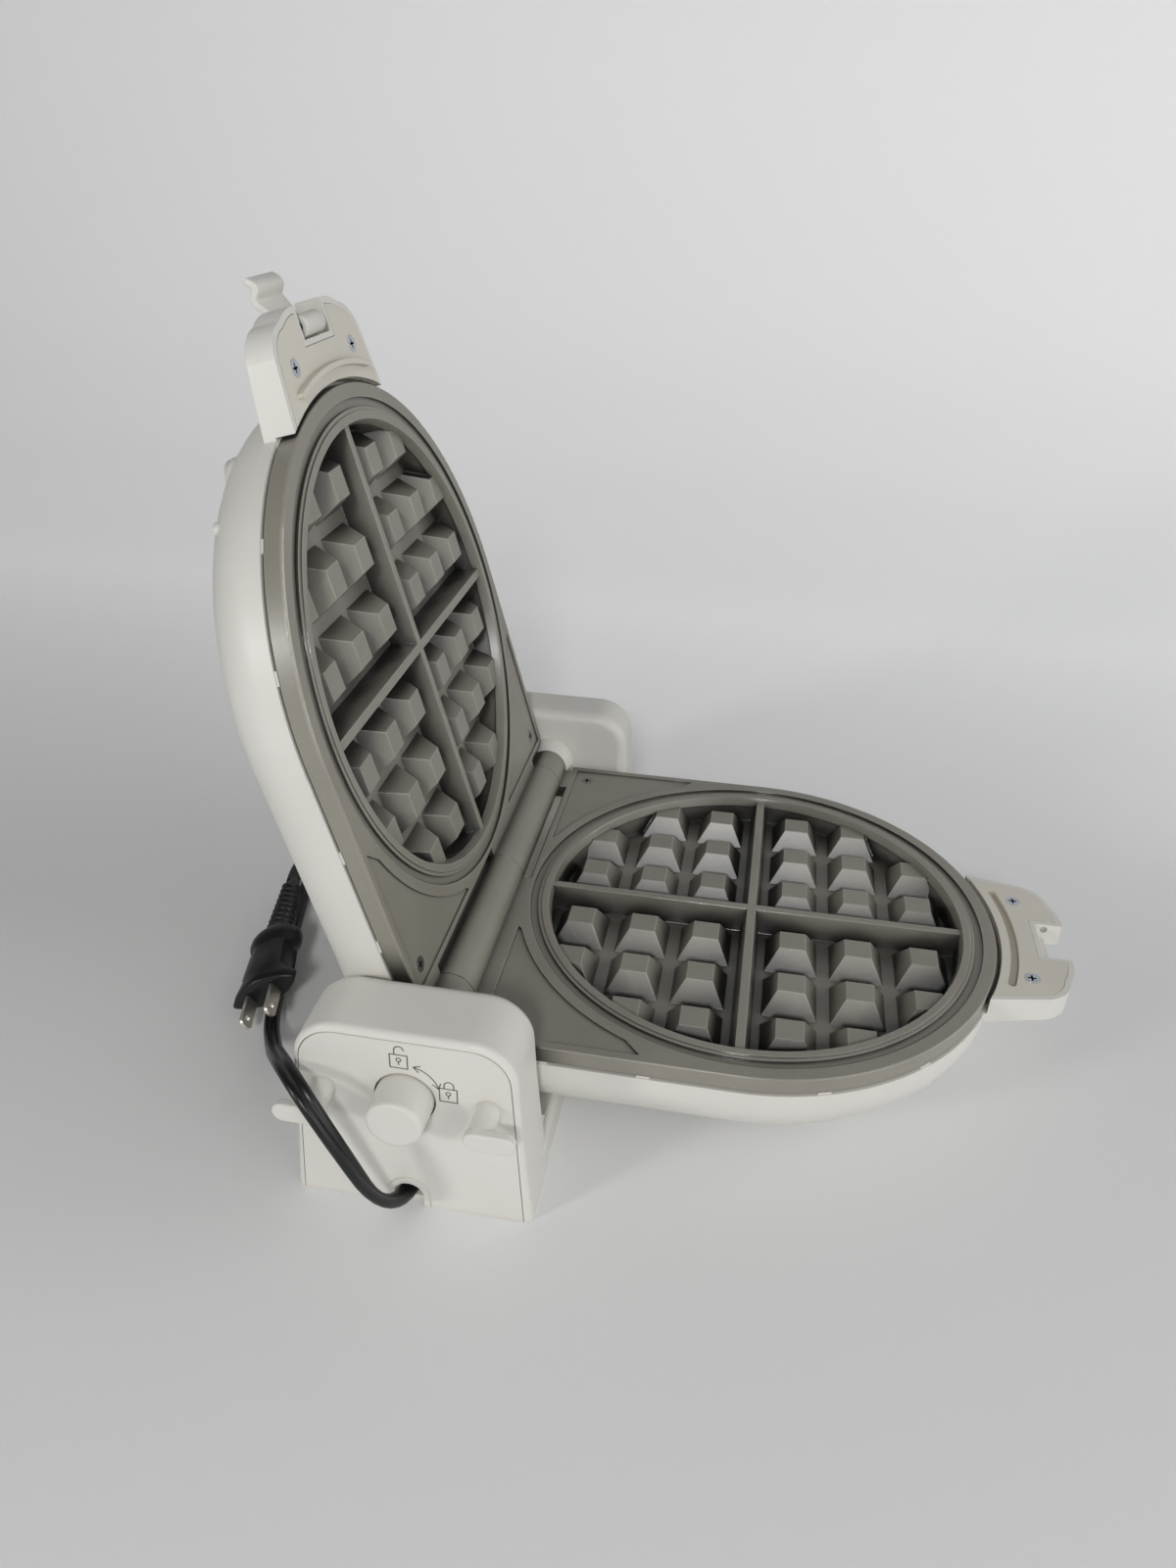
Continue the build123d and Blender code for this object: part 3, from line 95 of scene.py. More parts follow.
# %% [markdown]
# ## Studio
# A pale floor that sweeps up into a backdrop. Two small lamps in front give the edges their
# crisp lights and shadows, and two broad ones at the right fill them. The world and the far
# floor are brighter to the camera than to the rest of the scene, so the background is pale
# while the white plastic is never pushed to clip.

# %% World, floor and lamps
world_colour = (0.9, 0.92, 0.95, 1)
world_strength = 0.10
world_strength_seen = 0.62
floor_colour = (0.78, 0.78, 0.78, 1)
floor_roughness = 0.6
glow_full_at = 0.45
glow_strength = 0.27
backdrop_half_width = 3.0
# place and height of the floor's profile as it sweeps up
sweep_profile = [
    (-2.5, 0.0),
    (0.55, 0.0),
    (0.72, 0.02),
    (0.84, 0.08),
    (0.92, 0.2),
    (0.95, 0.4),
    (0.95, 2.2),
]
lamp_aim = Vector((0.05, 0, 0.10))
# name, place and side in metres, power in watts, colour
lamps = [
    ("left key", (-0.82, -0.87, 0.46), 0.18, 3.5, (1.0, 0.99, 0.97)),
    ("front", (0.10, -1.10, 0.80), 0.16, 5.2, (1.0, 1.0, 1.0)),
    ("right front", (1.0, -0.75, 0.55), 0.8, 4.4, (1.0, 1.0, 1.0)),
    ("right side", (1.3, 0.1, 0.50), 0.8, 4.2, (0.99, 1.0, 1.0)),
]

scene = bpy.context.scene
scene.view_settings.view_transform = "Standard"
world = bpy.data.worlds.new("studio")
scene.world = world
world.use_nodes = True
surroundings = world.node_tree.nodes["Background"]
surroundings.inputs["Color"].default_value = world_colour
ray_kind = world.node_tree.nodes.new("ShaderNodeLightPath")
brightness = world.node_tree.nodes.new("ShaderNodeMapRange")
brightness.inputs["To Min"].default_value = world_strength
brightness.inputs["To Max"].default_value = world_strength_seen
world.node_tree.links.new(ray_kind.outputs["Is Camera Ray"], brightness.inputs["Value"])
world.node_tree.links.new(brightness.outputs["Result"], surroundings.inputs["Strength"])


def principled(name):
    """A new node material and its surface shader."""
    material = bpy.data.materials.new(name)
    material.use_nodes = True
    return material, material.node_tree.nodes["Principled BSDF"]


def studio_floor():
    """A plain pale floor that glows for the camera alone, more so towards the backdrop."""
    material, shader = principled("studio floor")
    shader.inputs["Base Color"].default_value = floor_colour
    shader.inputs["Roughness"].default_value = floor_roughness
    shader.inputs["Emission Color"].default_value = (1.0, 1.0, 1.0, 1)
    nodes, links = material.node_tree.nodes, material.node_tree.links
    place = nodes.new("ShaderNodeTexCoord")
    parts = nodes.new("ShaderNodeSeparateXYZ")
    glow = nodes.new("ShaderNodeMapRange")
    glow.inputs["From Max"].default_value = glow_full_at
    glow.inputs["To Max"].default_value = glow_strength
    seen = nodes.new("ShaderNodeLightPath")
    lift = nodes.new("ShaderNodeMath")
    lift.operation = "MULTIPLY"
    links.new(place.outputs["Object"], parts.inputs["Vector"])
    links.new(parts.outputs["Y"], glow.inputs["Value"])
    links.new(glow.outputs["Result"], lift.inputs[0])
    links.new(seen.outputs["Is Camera Ray"], lift.inputs[1])
    links.new(lift.outputs["Value"], shader.inputs["Emission Strength"])
    return material


def lamp(name, place, side, power, colour):
    """A square area lamp that points at the appliance."""
    data = bpy.data.lights.new(name, "AREA")
    data.size = side
    data.energy = power
    data.color = colour
    obj = bpy.data.objects.new(name, data)
    turn = (lamp_aim - Vector(place)).to_track_quat("-Z", "Y").to_matrix().to_4x4()
    obj.matrix_world = Matrix.Translation(place) @ turn
    bpy.context.collection.objects.link(obj)


backdrop_mesh = bpy.data.meshes.new("backdrop")
backdrop_vertices = []
for depth, height in sweep_profile:
    for x in (-backdrop_half_width, backdrop_half_width):
        backdrop_vertices.append((x, depth, height))
backdrop_faces = [(2 * k, 2 * k + 1, 2 * k + 3, 2 * k + 2) for k in range(len(sweep_profile) - 1)]
backdrop_mesh.from_pydata(backdrop_vertices, [], backdrop_faces)
backdrop_mesh.shade_smooth()
backdrop_mesh.materials.append(studio_floor())
backdrop = bpy.data.objects.new("backdrop", backdrop_mesh)
bpy.context.collection.objects.link(backdrop)
for row in lamps:
    lamp(*row)
print("lamps:", len(lamps))

# %% [markdown]
# ## Finishes
# Small node groups hold what several finishes share. Each one gives out only a normal and masks,
# and every constant is set on the surface shader's own socket.

# %% Shared node groups
def object_noise(group, scale, detail, stretch=None):
    """A noise on Object coordinates, stretched along an axis where stretch is given."""
    place = group.nodes.new("ShaderNodeTexCoord").outputs["Object"]
    if stretch is not None:
        mapping = group.nodes.new("ShaderNodeMapping")
        mapping.inputs["Scale"].default_value = stretch
        group.links.new(place, mapping.inputs["Vector"])
        place = mapping.outputs["Vector"]
    noise = group.nodes.new("ShaderNodeTexNoise")
    noise.inputs["Scale"].default_value = scale
    noise.inputs["Detail"].default_value = detail
    group.links.new(place, noise.inputs["Vector"])
    return noise.outputs["Fac"]


def softened_edges(group, radius, samples):
    """A normal that rounds the edges within the radius."""
    bevel = group.nodes.new("ShaderNodeBevel")
    bevel.samples = samples
    bevel.inputs["Radius"].default_value = radius
    return bevel.outputs["Normal"]


def relief(group, height, normal, strength, distance):
    """A normal with a fine relief on top of another normal."""
    bump = group.nodes.new("ShaderNodeBump")
    bump.inputs["Strength"].default_value = strength
    bump.inputs["Distance"].default_value = distance
    group.links.new(height, bump.inputs["Height"])
    group.links.new(normal, bump.inputs["Normal"])
    return bump.outputs["Normal"]


def openness(group, distance, samples):
    """A mask that is low where other faces stand within the distance."""
    occlusion = group.nodes.new("ShaderNodeAmbientOcclusion")
    occlusion.samples = samples
    occlusion.inputs["Distance"].default_value = distance
    return occlusion.outputs["AO"]


def between(group, source, start, end):
    """A mask that goes from 0 to 1 as the source goes from start to end."""
    share = group.nodes.new("ShaderNodeMapRange")
    share.inputs["From Min"].default_value = start
    share.inputs["From Max"].default_value = end
    group.links.new(source, share.inputs["Value"])
    return share.outputs["Result"]


def give_out(group, **masks):
    """Gives a group its outputs: a vector for the normal, single values for the rest."""
    for label in masks:
        kind = "NodeSocketVector" if label == "Normal" else "NodeSocketFloat"
        group.interface.new_socket(label, in_out="OUTPUT", socket_type=kind)
    output = group.nodes.new("NodeGroupOutput")
    for label, source in masks.items():
        group.links.new(source, output.inputs[label])
    return group


def moulded_surface():
    """Fine sparked texture of a moulding over softened edges, with slight cloudiness."""
    group = bpy.data.node_groups.new("moulded surface", "ShaderNodeTree")
    edges = softened_edges(group, radius=0.35 * MM, samples=4)
    grain = object_noise(group, scale=2600, detail=2)
    return give_out(
        group,
        Normal=relief(group, grain, edges, strength=0.10, distance=0.05 * MM),
        Cloud=object_noise(group, scale=22, detail=3),
        # painted shade: an occlusion mask for darkening the crevices
        Rim=openness(group, distance=4 * MM, samples=6),
    )


def coated_casting():
    """Thin sprayed coating on cast metal: orange peel, pale specks and softened edges."""
    group = bpy.data.node_groups.new("coated casting", "ShaderNodeTree")
    edges = softened_edges(group, radius=0.7 * MM, samples=6)
    peel = object_noise(group, scale=420, detail=3)
    specks = object_noise(group, scale=900, detail=1)
    geometry = group.nodes.new("ShaderNodeNewGeometry")
    flatness = group.nodes.new("ShaderNodeVectorMath")
    flatness.operation = "DOT_PRODUCT"
    group.links.new(edges, flatness.inputs[0])
    group.links.new(geometry.outputs["True Normal"], flatness.inputs[1])
    return give_out(
        group,
        Normal=relief(group, peel, edges, strength=0.16, distance=0.25 * MM),
        Speck=between(group, specks, 0.68, 0.74),
        Edge=between(group, flatness.outputs["Value"], 0.995, 0.93),
        Cloud=object_noise(group, scale=30, detail=4),
        # painted shade: an occlusion mask for darkening the plates' recesses
        Recess=openness(group, distance=18 * MM, samples=8),
    )


def drawn_metal():
    """Fine lengthwise scratches and softened edges of small metal parts."""
    group = bpy.data.node_groups.new("drawn metal", "ShaderNodeTree")
    edges = softened_edges(group, radius=0.15 * MM, samples=4)
    scratch = object_noise(group, scale=2400, detail=2, stretch=(1, 0.06, 1))
    return give_out(
        group,
        Normal=relief(group, scratch, edges, strength=0.08, distance=0.05 * MM),
        Scratch=scratch,
        # painted shade: an occlusion mask for darkening where faces meet, as in the screws' cross
        # recesses
        Rim=openness(group, distance=1.6 * MM, samples=6),
    )


surface_groups = {
    "moulded": moulded_surface(),
    "coated": coated_casting(),
    "metal": drawn_metal(),
}
print("shared groups:", len(surface_groups))

# %% [markdown]
# Each finish varies its colour and roughness a little from the shared masks, because an even
# colour reads as paint. Crevices, corners and recesses are darkened with painted shade, and the
# plates' edges are paler with a painted highlight. There is no dirt or wear: the appliance is new.

# %% Finishes of the record's slots
cloud_reach = (0.3, 0.7)
# reach of the painted shade in the plastics' crevices, and reach and colour of the painted shade in
# the metals' corners
crevice_shade_reach = (0.25, 0.85)
metal_shade_reach = (0.35, 0.95)
metal_shade_colour = (0.05, 0.06, 0.09)
no_shade = (1, 1, 1)
# dark and light colour, colour of the painted shade in the crevices, lowest and highest roughness
plastics = {
    "white_plastic": ((0.70, 0.685, 0.635), (0.74, 0.725, 0.68), (0.86, 0.84, 0.80), (0.36, 0.44)),
    "beige_plastic": ((0.66, 0.625, 0.55), (0.70, 0.665, 0.585), (0.84, 0.81, 0.76), (0.42, 0.52)),
    "grey_rubber": ((0.075, 0.073, 0.07), (0.10, 0.097, 0.093), (0.7, 0.7, 0.7), (0.65, 0.8)),
    "white_rubber": ((0.60, 0.59, 0.56), (0.64, 0.63, 0.60), (0.8, 0.8, 0.8), (0.6, 0.7)),
    "black_cord": ((0.005, 0.005, 0.006), (0.011, 0.011, 0.012), (0.7, 0.7, 0.7), (0.28, 0.42)),
}
# dark and light colour, lowest and highest roughness
metals = {
    "steel": ((0.24, 0.24, 0.235), (0.32, 0.32, 0.315), (0.30, 0.42)),
    "chrome": ((0.62, 0.67, 0.74), (0.80, 0.83, 0.87), (0.16, 0.26)),
    "element_steel": ((0.05, 0.045, 0.04), (0.09, 0.08, 0.07), (0.38, 0.5)),
    "nickel": ((0.80, 0.76, 0.68), (0.90, 0.86, 0.78), (0.34, 0.46)),
}


def shared_masks(material, key):
    """Puts a shared group into a material and returns what it gives out."""
    node = material.node_tree.nodes.new("ShaderNodeGroup")
    node.node_tree = surface_groups[key]
    return node.outputs


def ramp(material, source, reach, dark, light):
    """A colour that goes from dark to light as the mask goes through its reach."""
    node = material.node_tree.nodes.new("ShaderNodeValToRGB")
    for element, position, colour in zip(node.color_ramp.elements, reach, (dark, light)):
        element.position = position
        element.color = (*colour, 1)
    material.node_tree.links.new(source, node.inputs["Fac"])
    return node.outputs["Color"]


def spread(material, source, low, high):
    """A value between low and high that follows a mask."""
    node = material.node_tree.nodes.new("ShaderNodeMapRange")
    node.inputs["To Min"].default_value = low
    node.inputs["To Max"].default_value = high
    material.node_tree.links.new(source, node.inputs["Value"])
    return node.outputs["Result"]


def over(material, factor, base, top):
    """The base colour, with a plain colour over it where the factor is high."""
    node = material.node_tree.nodes.new("ShaderNodeMix")
    node.data_type = "RGBA"
    node.inputs["B"].default_value = (*top, 1)
    material.node_tree.links.new(factor, node.inputs["Factor"])
    material.node_tree.links.new(base, node.inputs["A"])
    return node.outputs["Result"]


def shaded(material, colour, shade):
    """A colour multiplied by a shade."""
    node = material.node_tree.nodes.new("ShaderNodeMix")
    node.data_type = "RGBA"
    node.blend_type = "MULTIPLY"
    node.inputs["Factor"].default_value = 1.0
    material.node_tree.links.new(colour, node.inputs["A"])
    material.node_tree.links.new(shade, node.inputs["B"])
    return node.outputs["Result"]


def dress(material, shader, colour, roughness, normal):
    """Links a colour, a roughness and a normal to the surface shader."""
    material.node_tree.links.new(colour, shader.inputs["Base Color"])
    material.node_tree.links.new(roughness, shader.inputs["Roughness"])
    material.node_tree.links.new(normal, shader.inputs["Normal"])


def plastic(name, dark, light, crevice_shade, roughness):
    """A moulded plastic or rubber, darkened by painted shade in its crevices."""
    material, shader = principled(name)
    masks = shared_masks(material, "moulded")
    colour = ramp(material, masks["Cloud"], cloud_reach, dark, light)
    # painted shade in the crevices
    shade = ramp(material, masks["Rim"], crevice_shade_reach, crevice_shade, no_shade)
    rough = spread(material, masks["Cloud"], *roughness)
    dress(material, shader, shaded(material, colour, shade), rough, masks["Normal"])
    shader.inputs["IOR"].default_value = 1.47
    return material


def metal(name, dark, light, roughness):
    """A bare or plated metal with fine scratches, and painted shade where faces meet."""
    material, shader = principled(name)
    masks = shared_masks(material, "metal")
    colour = ramp(material, masks["Scratch"], cloud_reach, dark, light)
    # painted shade where faces meet
    shade = ramp(material, masks["Rim"], metal_shade_reach, metal_shade_colour, no_shade)
    rough = spread(material, masks["Scratch"], *roughness)
    dress(material, shader, shaded(material, colour, shade), rough, masks["Normal"])
    shader.inputs["Metallic"].default_value = 1.0
    return material


def nonstick():
    """The plates' coating: clouded and specked, paler with a painted highlight and glossier on edges,
    with painted shade in recesses.
    """
    dark, light = (0.243, 0.227, 0.187), (0.275, 0.258, 0.215)
    speck_colour, speck_share = (0.55, 0.54, 0.50), 0.16
    # painted highlight on the edges: its colour and its share
    edge_highlight_colour, edge_highlight_share = (0.60, 0.58, 0.52), 0.45
    # painted shade in the recesses: its colour and its reach on the mask
    recess_shade_colour, recess_shade_reach = (0.05, 0.048, 0.05), (0.44, 0.84)
    flat_roughness, edge_roughness = 0.38, 0.16
    material, shader = principled("nonstick")
    masks = shared_masks(material, "coated")
    colour = ramp(material, masks["Cloud"], cloud_reach, dark, light)
    colour = over(material, spread(material, masks["Speck"], 0, speck_share), colour, speck_colour)
    # painted highlight: a paler colour on the edges
    colour = over(material, spread(material, masks["Edge"], 0, edge_highlight_share), colour, edge_highlight_colour)
    # painted shade in the recesses
    shade = ramp(material, masks["Recess"], recess_shade_reach, recess_shade_colour, no_shade)
    rough = spread(material, masks["Edge"], flat_roughness, edge_roughness)
    dress(material, shader, shaded(material, colour, shade), rough, masks["Normal"])
    shader.inputs["Specular IOR Level"].default_value = 0.9
    shader.inputs["Coat Weight"].default_value = 0.2
    shader.inputs["Coat Roughness"].default_value = 0.22
    return material


def white_plastic():
    """The housing's plastic, which lets a little light in."""
    material = plastic("white_plastic", *plastics["white_plastic"])
    shader = material.node_tree.nodes["Principled BSDF"]
    shader.inputs["Subsurface Weight"].default_value = 0.04
    shader.inputs["Subsurface Radius"].default_value = (0.002, 0.0015, 0.001)
    return material


finishes = {"nonstick": nonstick(), "white_plastic": white_plastic()}
for name, row in plastics.items():
    if name not in finishes:
        finishes[name] = plastic(name, *row)
for name, row in metals.items():
    finishes[name] = metal(name, *row)
print("finishes:", len(finishes))

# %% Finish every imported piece
finished_slots = 0
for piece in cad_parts.values():
    for material_slot in piece.material_slots:
        slot_name = material_slot.material.name.split(".")[0]
        if slot_name in finishes:
            material_slot.material = finishes[slot_name]
            finished_slots += 1
print("material slots finished:", finished_slots)

# %% [markdown]
# ## Supply cord
# A flat two-core lead, 6.8 mm wide. It leaves the slot, folds back, climbs over the tongue of a
# wrap peg, runs on under the plug and ends in a small put-away coil behind the lid. Its middle
# line is one smooth NURBS curve, and a two-lobed section is carried along it, always lying flat,
# because a round bevel would lose the groove between the cores.

# %% Route of the cord
lead_width = 6.8 * MM
core_share = 0.53
slot_x = -1.0
slot_level = 5.2
floor_level = 2.9
lead_route = [
    (slot_x, -124.0, slot_level),
    (slot_x, -152.0, slot_level),
    (-22.5, -153.5, 56.0),
    (-38.0, -143.0, 68.0),
    (-56.0, -117.0, 46.0),
    (-75.0, -86.0, 14.0),
    (-90.0, -60.0, floor_level),
    (-104.5, -5.0, floor_level),
    (-116.0, 45.0, floor_level),
    (-116.0, 70.0, floor_level),
]
print("points before the coil:", len(lead_route))

# %% [markdown]
# The put-away coil is a formula: half turns wound inwards with straight runs between them, a
# climb, and the way out over the top to the plug. Control points of a half turn stand just
# outside its circle, so that the spline itself runs on the circle.

# %% Coil of the cord
coil_south = 82.0
coil_north = 106.0
coil_first_radius = 32.0
coil_pitch = 7.6
coil_half_turns = 3
coil_rise = 7.6
coil_tail = 9.0
coil_exit = (-107.0, 57.0, 12.0)
steps_in_half_turn = 8

plug_tip = Vector((-88.5, -73.0, 15.0))
plug_heading = Vector((-0.253, 0.9675, 0)).normalized()
blade_length = 17.0
body_length = 44.0
relief_length = 38.0
plug_lead = 20.0


def turn_points(centre, radius, start, sweep, steps, level):
    """Control points of a quadratic spline that runs on an arc, its ends left to the runs."""
    step = radians(sweep) / steps
    outer = radius / cos(step / 2)
    points = []
    for k in range(steps):
        angle = radians(start) + (k + 0.5) * step
        points.append((centre[0] + outer * cos(angle), centre[1] + outer * sin(angle), level))
    return points


def coil_points():
    """Control points of the coil, from the end of the route to its tail on top."""
    left, level = lead_route[-1][0], lead_route[-1][2]
    middle = (coil_south + coil_north) / 2
    points = [(left, middle, level)]
    x, radius, heading = left, coil_first_radius, 1
    for turn in range(coil_half_turns):
        centre = (x + heading * radius, coil_north if heading > 0 else coil_south)
        start = 180 if heading > 0 else 0
        points += turn_points(centre, radius, start, -180, steps_in_half_turn, level)
        x += heading * 2 * radius
        radius -= coil_pitch / 2
        heading = -heading
        if turn < coil_half_turns - 1:
            points.append((x, middle, level))
    top = level + coil_rise
    points += [(x, coil_north, level), (x, coil_south, top)]
    points += turn_points((x - radius, coil_south), radius, 0, -90, steps_in_half_turn // 2, top)
    points.append((x - radius - coil_tail, coil_south - radius, top))
    return points


relief_end = plug_tip + (blade_length + body_length + relief_length) * plug_heading
way_out = [coil_exit, tuple(relief_end + plug_lead * plug_heading), tuple(relief_end)]
lead_points = lead_route + coil_points() + way_out
print("points of the cord:", len(lead_points))

# %% [markdown]
# The section has a lobe for each core, drawn with a half width of 1, and each point's radius
# scales it. Z_UP keeps it flat on the table and across the tongue of the peg.

# %% Cord as a swept curve
lobe_half_angle = 140
lobe_steps = 14


def in_scene(name, data):
    """An object in the scene for a curve or a mesh."""
    obj = bpy.data.objects.new(name, data)
    bpy.context.collection.objects.link(obj)
    return obj


def closed_line(curve, points, unit):
    """Adds a closed run of straight lines to a flat curve."""
    line = curve.splines.new("POLY")
    line.points.add(len(points) - 1)
    for point, (x, y) in zip(line.points, points):
        point.co = (x * unit, y * unit, 0, 1)
    line.use_cyclic_u = True


section = bpy.data.curves.new("lead section", "CURVE")
section.dimensions = "2D"
section_points = []
for side, half_turn in ((1, 0), (-1, pi)):
    for k in range(lobe_steps + 1):
        angle = radians(-lobe_half_angle + 2 * lobe_half_angle * k / lobe_steps) + half_turn
        across = side * (1 - core_share) + core_share * cos(angle)
        section_points.append((across, core_share * sin(angle)))
closed_line(section, section_points, 1)
section_object = in_scene("lead section", section)
section_object.hide_render = True

lead_curve = bpy.data.curves.new("supply_cord", "CURVE")
lead_curve.dimensions = "3D"
lead_curve.twist_mode = "Z_UP"
lead_curve.bevel_mode = "OBJECT"
lead_curve.bevel_object = section_object
lead_curve.use_fill_caps = True
spline = lead_curve.splines.new("NURBS")
spline.points.add(len(lead_points) - 1)
for point, place in zip(spline.points, lead_points):
    point.co = (place[0] * MM, place[1] * MM, place[2] * MM, 1)
    point.radius = lead_width / 2
spline.order_u = 3
spline.use_endpoint_u = True
spline.resolution_u = 10
lead_curve.materials.append(finishes["black_cord"])
supply_cord = in_scene("supply_cord", lead_curve)
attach(supply_cord, "stand")
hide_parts("cord_stretch", "cord_coil")
print("control points:", len(spline.points))

# %% [markdown]
# ## Plug
# A two-blade plug moulded onto the lead. Its front flange has pointed wings, the waist carries
# fine grip ridges, and a bead closes it towards the strain relief. The body is a loft through a
# table of sections. The ridges and the slanting relief ribs repeat, so Geometry Nodes sets them
# along the axis. The plug lies rolled on the lead, as in the photograph.

# %% Lofted plug body
plug_roll = radians(31)
points_round = 48
# place along the axis, half width, half thickness, power of the rounded section, in mm
plug_sections = [
    (0.0, 15.4, 6.4, 1.5),
    (0.5, 16.4, 7.2, 1.5),
    (4.2, 16.6, 7.4, 1.5),
    (5.6, 15.4, 7.4, 1.6),
    (7.8, 11.8, 7.5, 2.2),
    (10.0, 11.0, 7.6, 2.8),
    (18.0, 10.3, 7.3, 3.0),
    (26.5, 9.6, 7.0, 2.9),
    (28.0, 10.2, 7.3, 2.5),
    (29.6, 12.2, 8.2, 2.2),
    (31.5, 12.9, 8.7, 2.1),
    (34.5, 12.9, 8.7, 2.1),
    (36.4, 12.0, 8.1, 2.1),
    (37.6, 9.0, 6.6, 2.1),
    (39.0, 7.0, 5.4, 2.1),
    (44.0, 6.1, 4.8, 2.1),
    (62.0, 4.9, 3.7, 2.1),
    (78.0, 4.1, 2.7, 2.1),
    (82.0, 3.7, 2.2, 2.1),
]

plug_face = plug_tip + blade_length * plug_heading
plug_side = Vector((plug_heading.y, -plug_heading.x, 0))
plug_side_rolled = cos(plug_roll) * plug_side + sin(plug_roll) * Vector((0, 0, 1))
plug_thick = plug_heading.cross(plug_side_rolled)
plug_turn = Matrix((plug_heading, plug_side_rolled, plug_thick)).transposed().to_4x4()
plug_frame = Matrix.Translation(plug_face * MM) @ plug_turn


def rounded_section(place, width, thickness, power):
    """Points of a superellipse across the axis."""
    ring = []
    for k in range(points_round):
        angle = 2 * pi * k / points_round
        c, s = cos(angle), sin(angle)
        y = width * abs(c) ** (2 / power) * (1 if c >= 0 else -1)
        z = thickness * abs(s) ** (2 / power) * (1 if s >= 0 else -1)
        ring.append((place * MM, y * MM, z * MM))
    return ring


def mesh_from(name, bm):
    """A mesh with its normals outwards, made from bm, which is freed."""
    bmesh.ops.recalc_face_normals(bm, faces=bm.faces)
    mesh = bpy.data.meshes.new(name)
    bm.to_mesh(mesh)
    bm.free()
    return mesh


def loft(name, sections):
    """A closed skin through the sections, with flat ends."""
    bm = bmesh.new()
    rings = [[bm.verts.new(p) for p in rounded_section(*row)] for row in sections]
    for first, second in zip(rings, rings[1:]):
        for k in range(points_round):
            j = (k + 1) % points_round
            bm.faces.new((first[k], first[j], second[j], second[k]))
    bm.faces.new(rings[0])
    bm.faces.new(rings[-1])
    mesh = mesh_from(name, bm)
    mesh.shade_smooth()
    return mesh


plug_core = in_scene("plug core", loft("plug core", plug_sections))
print("faces of the plug core:", len(plug_core.data.polygons))

# %% [markdown]
# Both node trees of this script are put together from the same few steps: named inputs first,
# then calculations, rows of instances and sweeps, and at the end smooth shading, real geometry
# and the material.

# %% Steps that node trees share
def geometry_tree(name, inputs):
    """A tree with named inputs, their keys on a modifier, and their sockets inside the tree."""
    tree = bpy.data.node_groups.new(name, "GeometryNodeTree")
    tree.interface.new_socket("Geometry", in_out="OUTPUT", socket_type="NodeSocketGeometry")
    keys = {}
    for label, (kind, value) in inputs.items():
        made = tree.interface.new_socket(label, in_out="INPUT", socket_type=kind)
        if value is not None:
            made.default_value = value
        keys[label] = made.identifier
    return tree, keys, tree.nodes.new("NodeGroupInput").outputs


def feed(tree, value, target):
    """Sets an input to a number, or links a socket to it."""
    if isinstance(value, (int, float)):
        target.default_value = value
    else:
        tree.links.new(value, target)


def maths(tree, operation, a, b):
    """The result of a math node on two sockets or numbers."""
    node = tree.nodes.new("ShaderNodeMath")
    node.operation = operation
    feed(tree, a, node.inputs[0])
    feed(tree, b, node.inputs[1])
    return node.outputs["Value"]


def vector(tree, x, y, z):
    """A vector from sockets or numbers."""
    node = tree.nodes.new("ShaderNodeCombineXYZ")
    for target, value in zip(node.inputs, (x, y, z)):
        feed(tree, value, target)
    return node.outputs["Vector"]


def row_of(tree, count, start, step, instance, turn, size):
    """Instances of a curve on a straight row of points, made real."""
    line = tree.nodes.new("GeometryNodeMeshLine")
    placed = tree.nodes.new("GeometryNodeInstanceOnPoints")
    real = tree.nodes.new("GeometryNodeRealizeInstances")
    tree.links.new(count, line.inputs["Count"])
    tree.links.new(start, line.inputs["Start Location"])
    tree.links.new(step, line.inputs["Offset"])
    tree.links.new(line.outputs["Mesh"], placed.inputs["Points"])
    tree.links.new(instance, placed.inputs["Instance"])
    tree.links.new(turn, placed.inputs["Rotation"])
    tree.links.new(size, placed.inputs["Scale"])
    tree.links.new(placed.outputs["Instances"], real.inputs["Geometry"])
    return real.outputs["Geometry"]


def swept(tree, curve, bead):
    """A round bead along a curve."""
    profile = tree.nodes.new("GeometryNodeCurvePrimitiveCircle")
    profile.inputs["Resolution"].default_value = 8
    tree.links.new(bead, profile.inputs["Radius"])
    sweep = tree.nodes.new("GeometryNodeCurveToMesh")
    sweep.inputs["Fill Caps"].default_value = True
    tree.links.new(curve, sweep.inputs["Curve"])
    tree.links.new(profile.outputs["Curve"], sweep.inputs["Profile Curve"])
    return sweep.outputs["Mesh"]


def close_tree(tree, geometry, material):
    """Ends a tree with smooth shading, real geometry and its material."""
    smooth = tree.nodes.new("GeometryNodeSetShadeSmooth")
    real = tree.nodes.new("GeometryNodeRealizeInstances")
    coat = tree.nodes.new("GeometryNodeSetMaterial")
    output = tree.nodes.new("NodeGroupOutput")
    tree.links.new(geometry, smooth.inputs["Geometry"])
    tree.links.new(smooth.outputs["Geometry"], real.inputs["Geometry"])
    tree.links.new(real.outputs["Geometry"], coat.inputs["Geometry"])
    tree.links.new(material, coat.inputs["Material"])
    tree.links.new(coat.outputs["Geometry"], output.inputs["Geometry"])


def apply_tree(obj, tree, keys, inputs, material):
    """Puts a tree on an object as a modifier, with its inputs set by their keys."""
    modifier = obj.modifiers.new(tree.name, "NODES")
    modifier.node_group = tree
    for label, (_, value) in inputs.items():
        if value is not None:
            modifier[keys[label]] = value
    modifier[keys["Material"]] = material


def baked(source, name, place):
    """A plain mesh object from an evaluated one, moved by its vertices."""
    graph = bpy.context.evaluated_depsgraph_get()
    mesh = bpy.data.meshes.new_from_object(source.evaluated_get(graph))
    mesh.name = name
    mesh.transform(place)
    bpy.data.objects.remove(source)
    return in_scene(name, mesh)


print("shared steps:", ", ".join(step.__name__ for step in (maths, vector, row_of, swept, close_tree)))

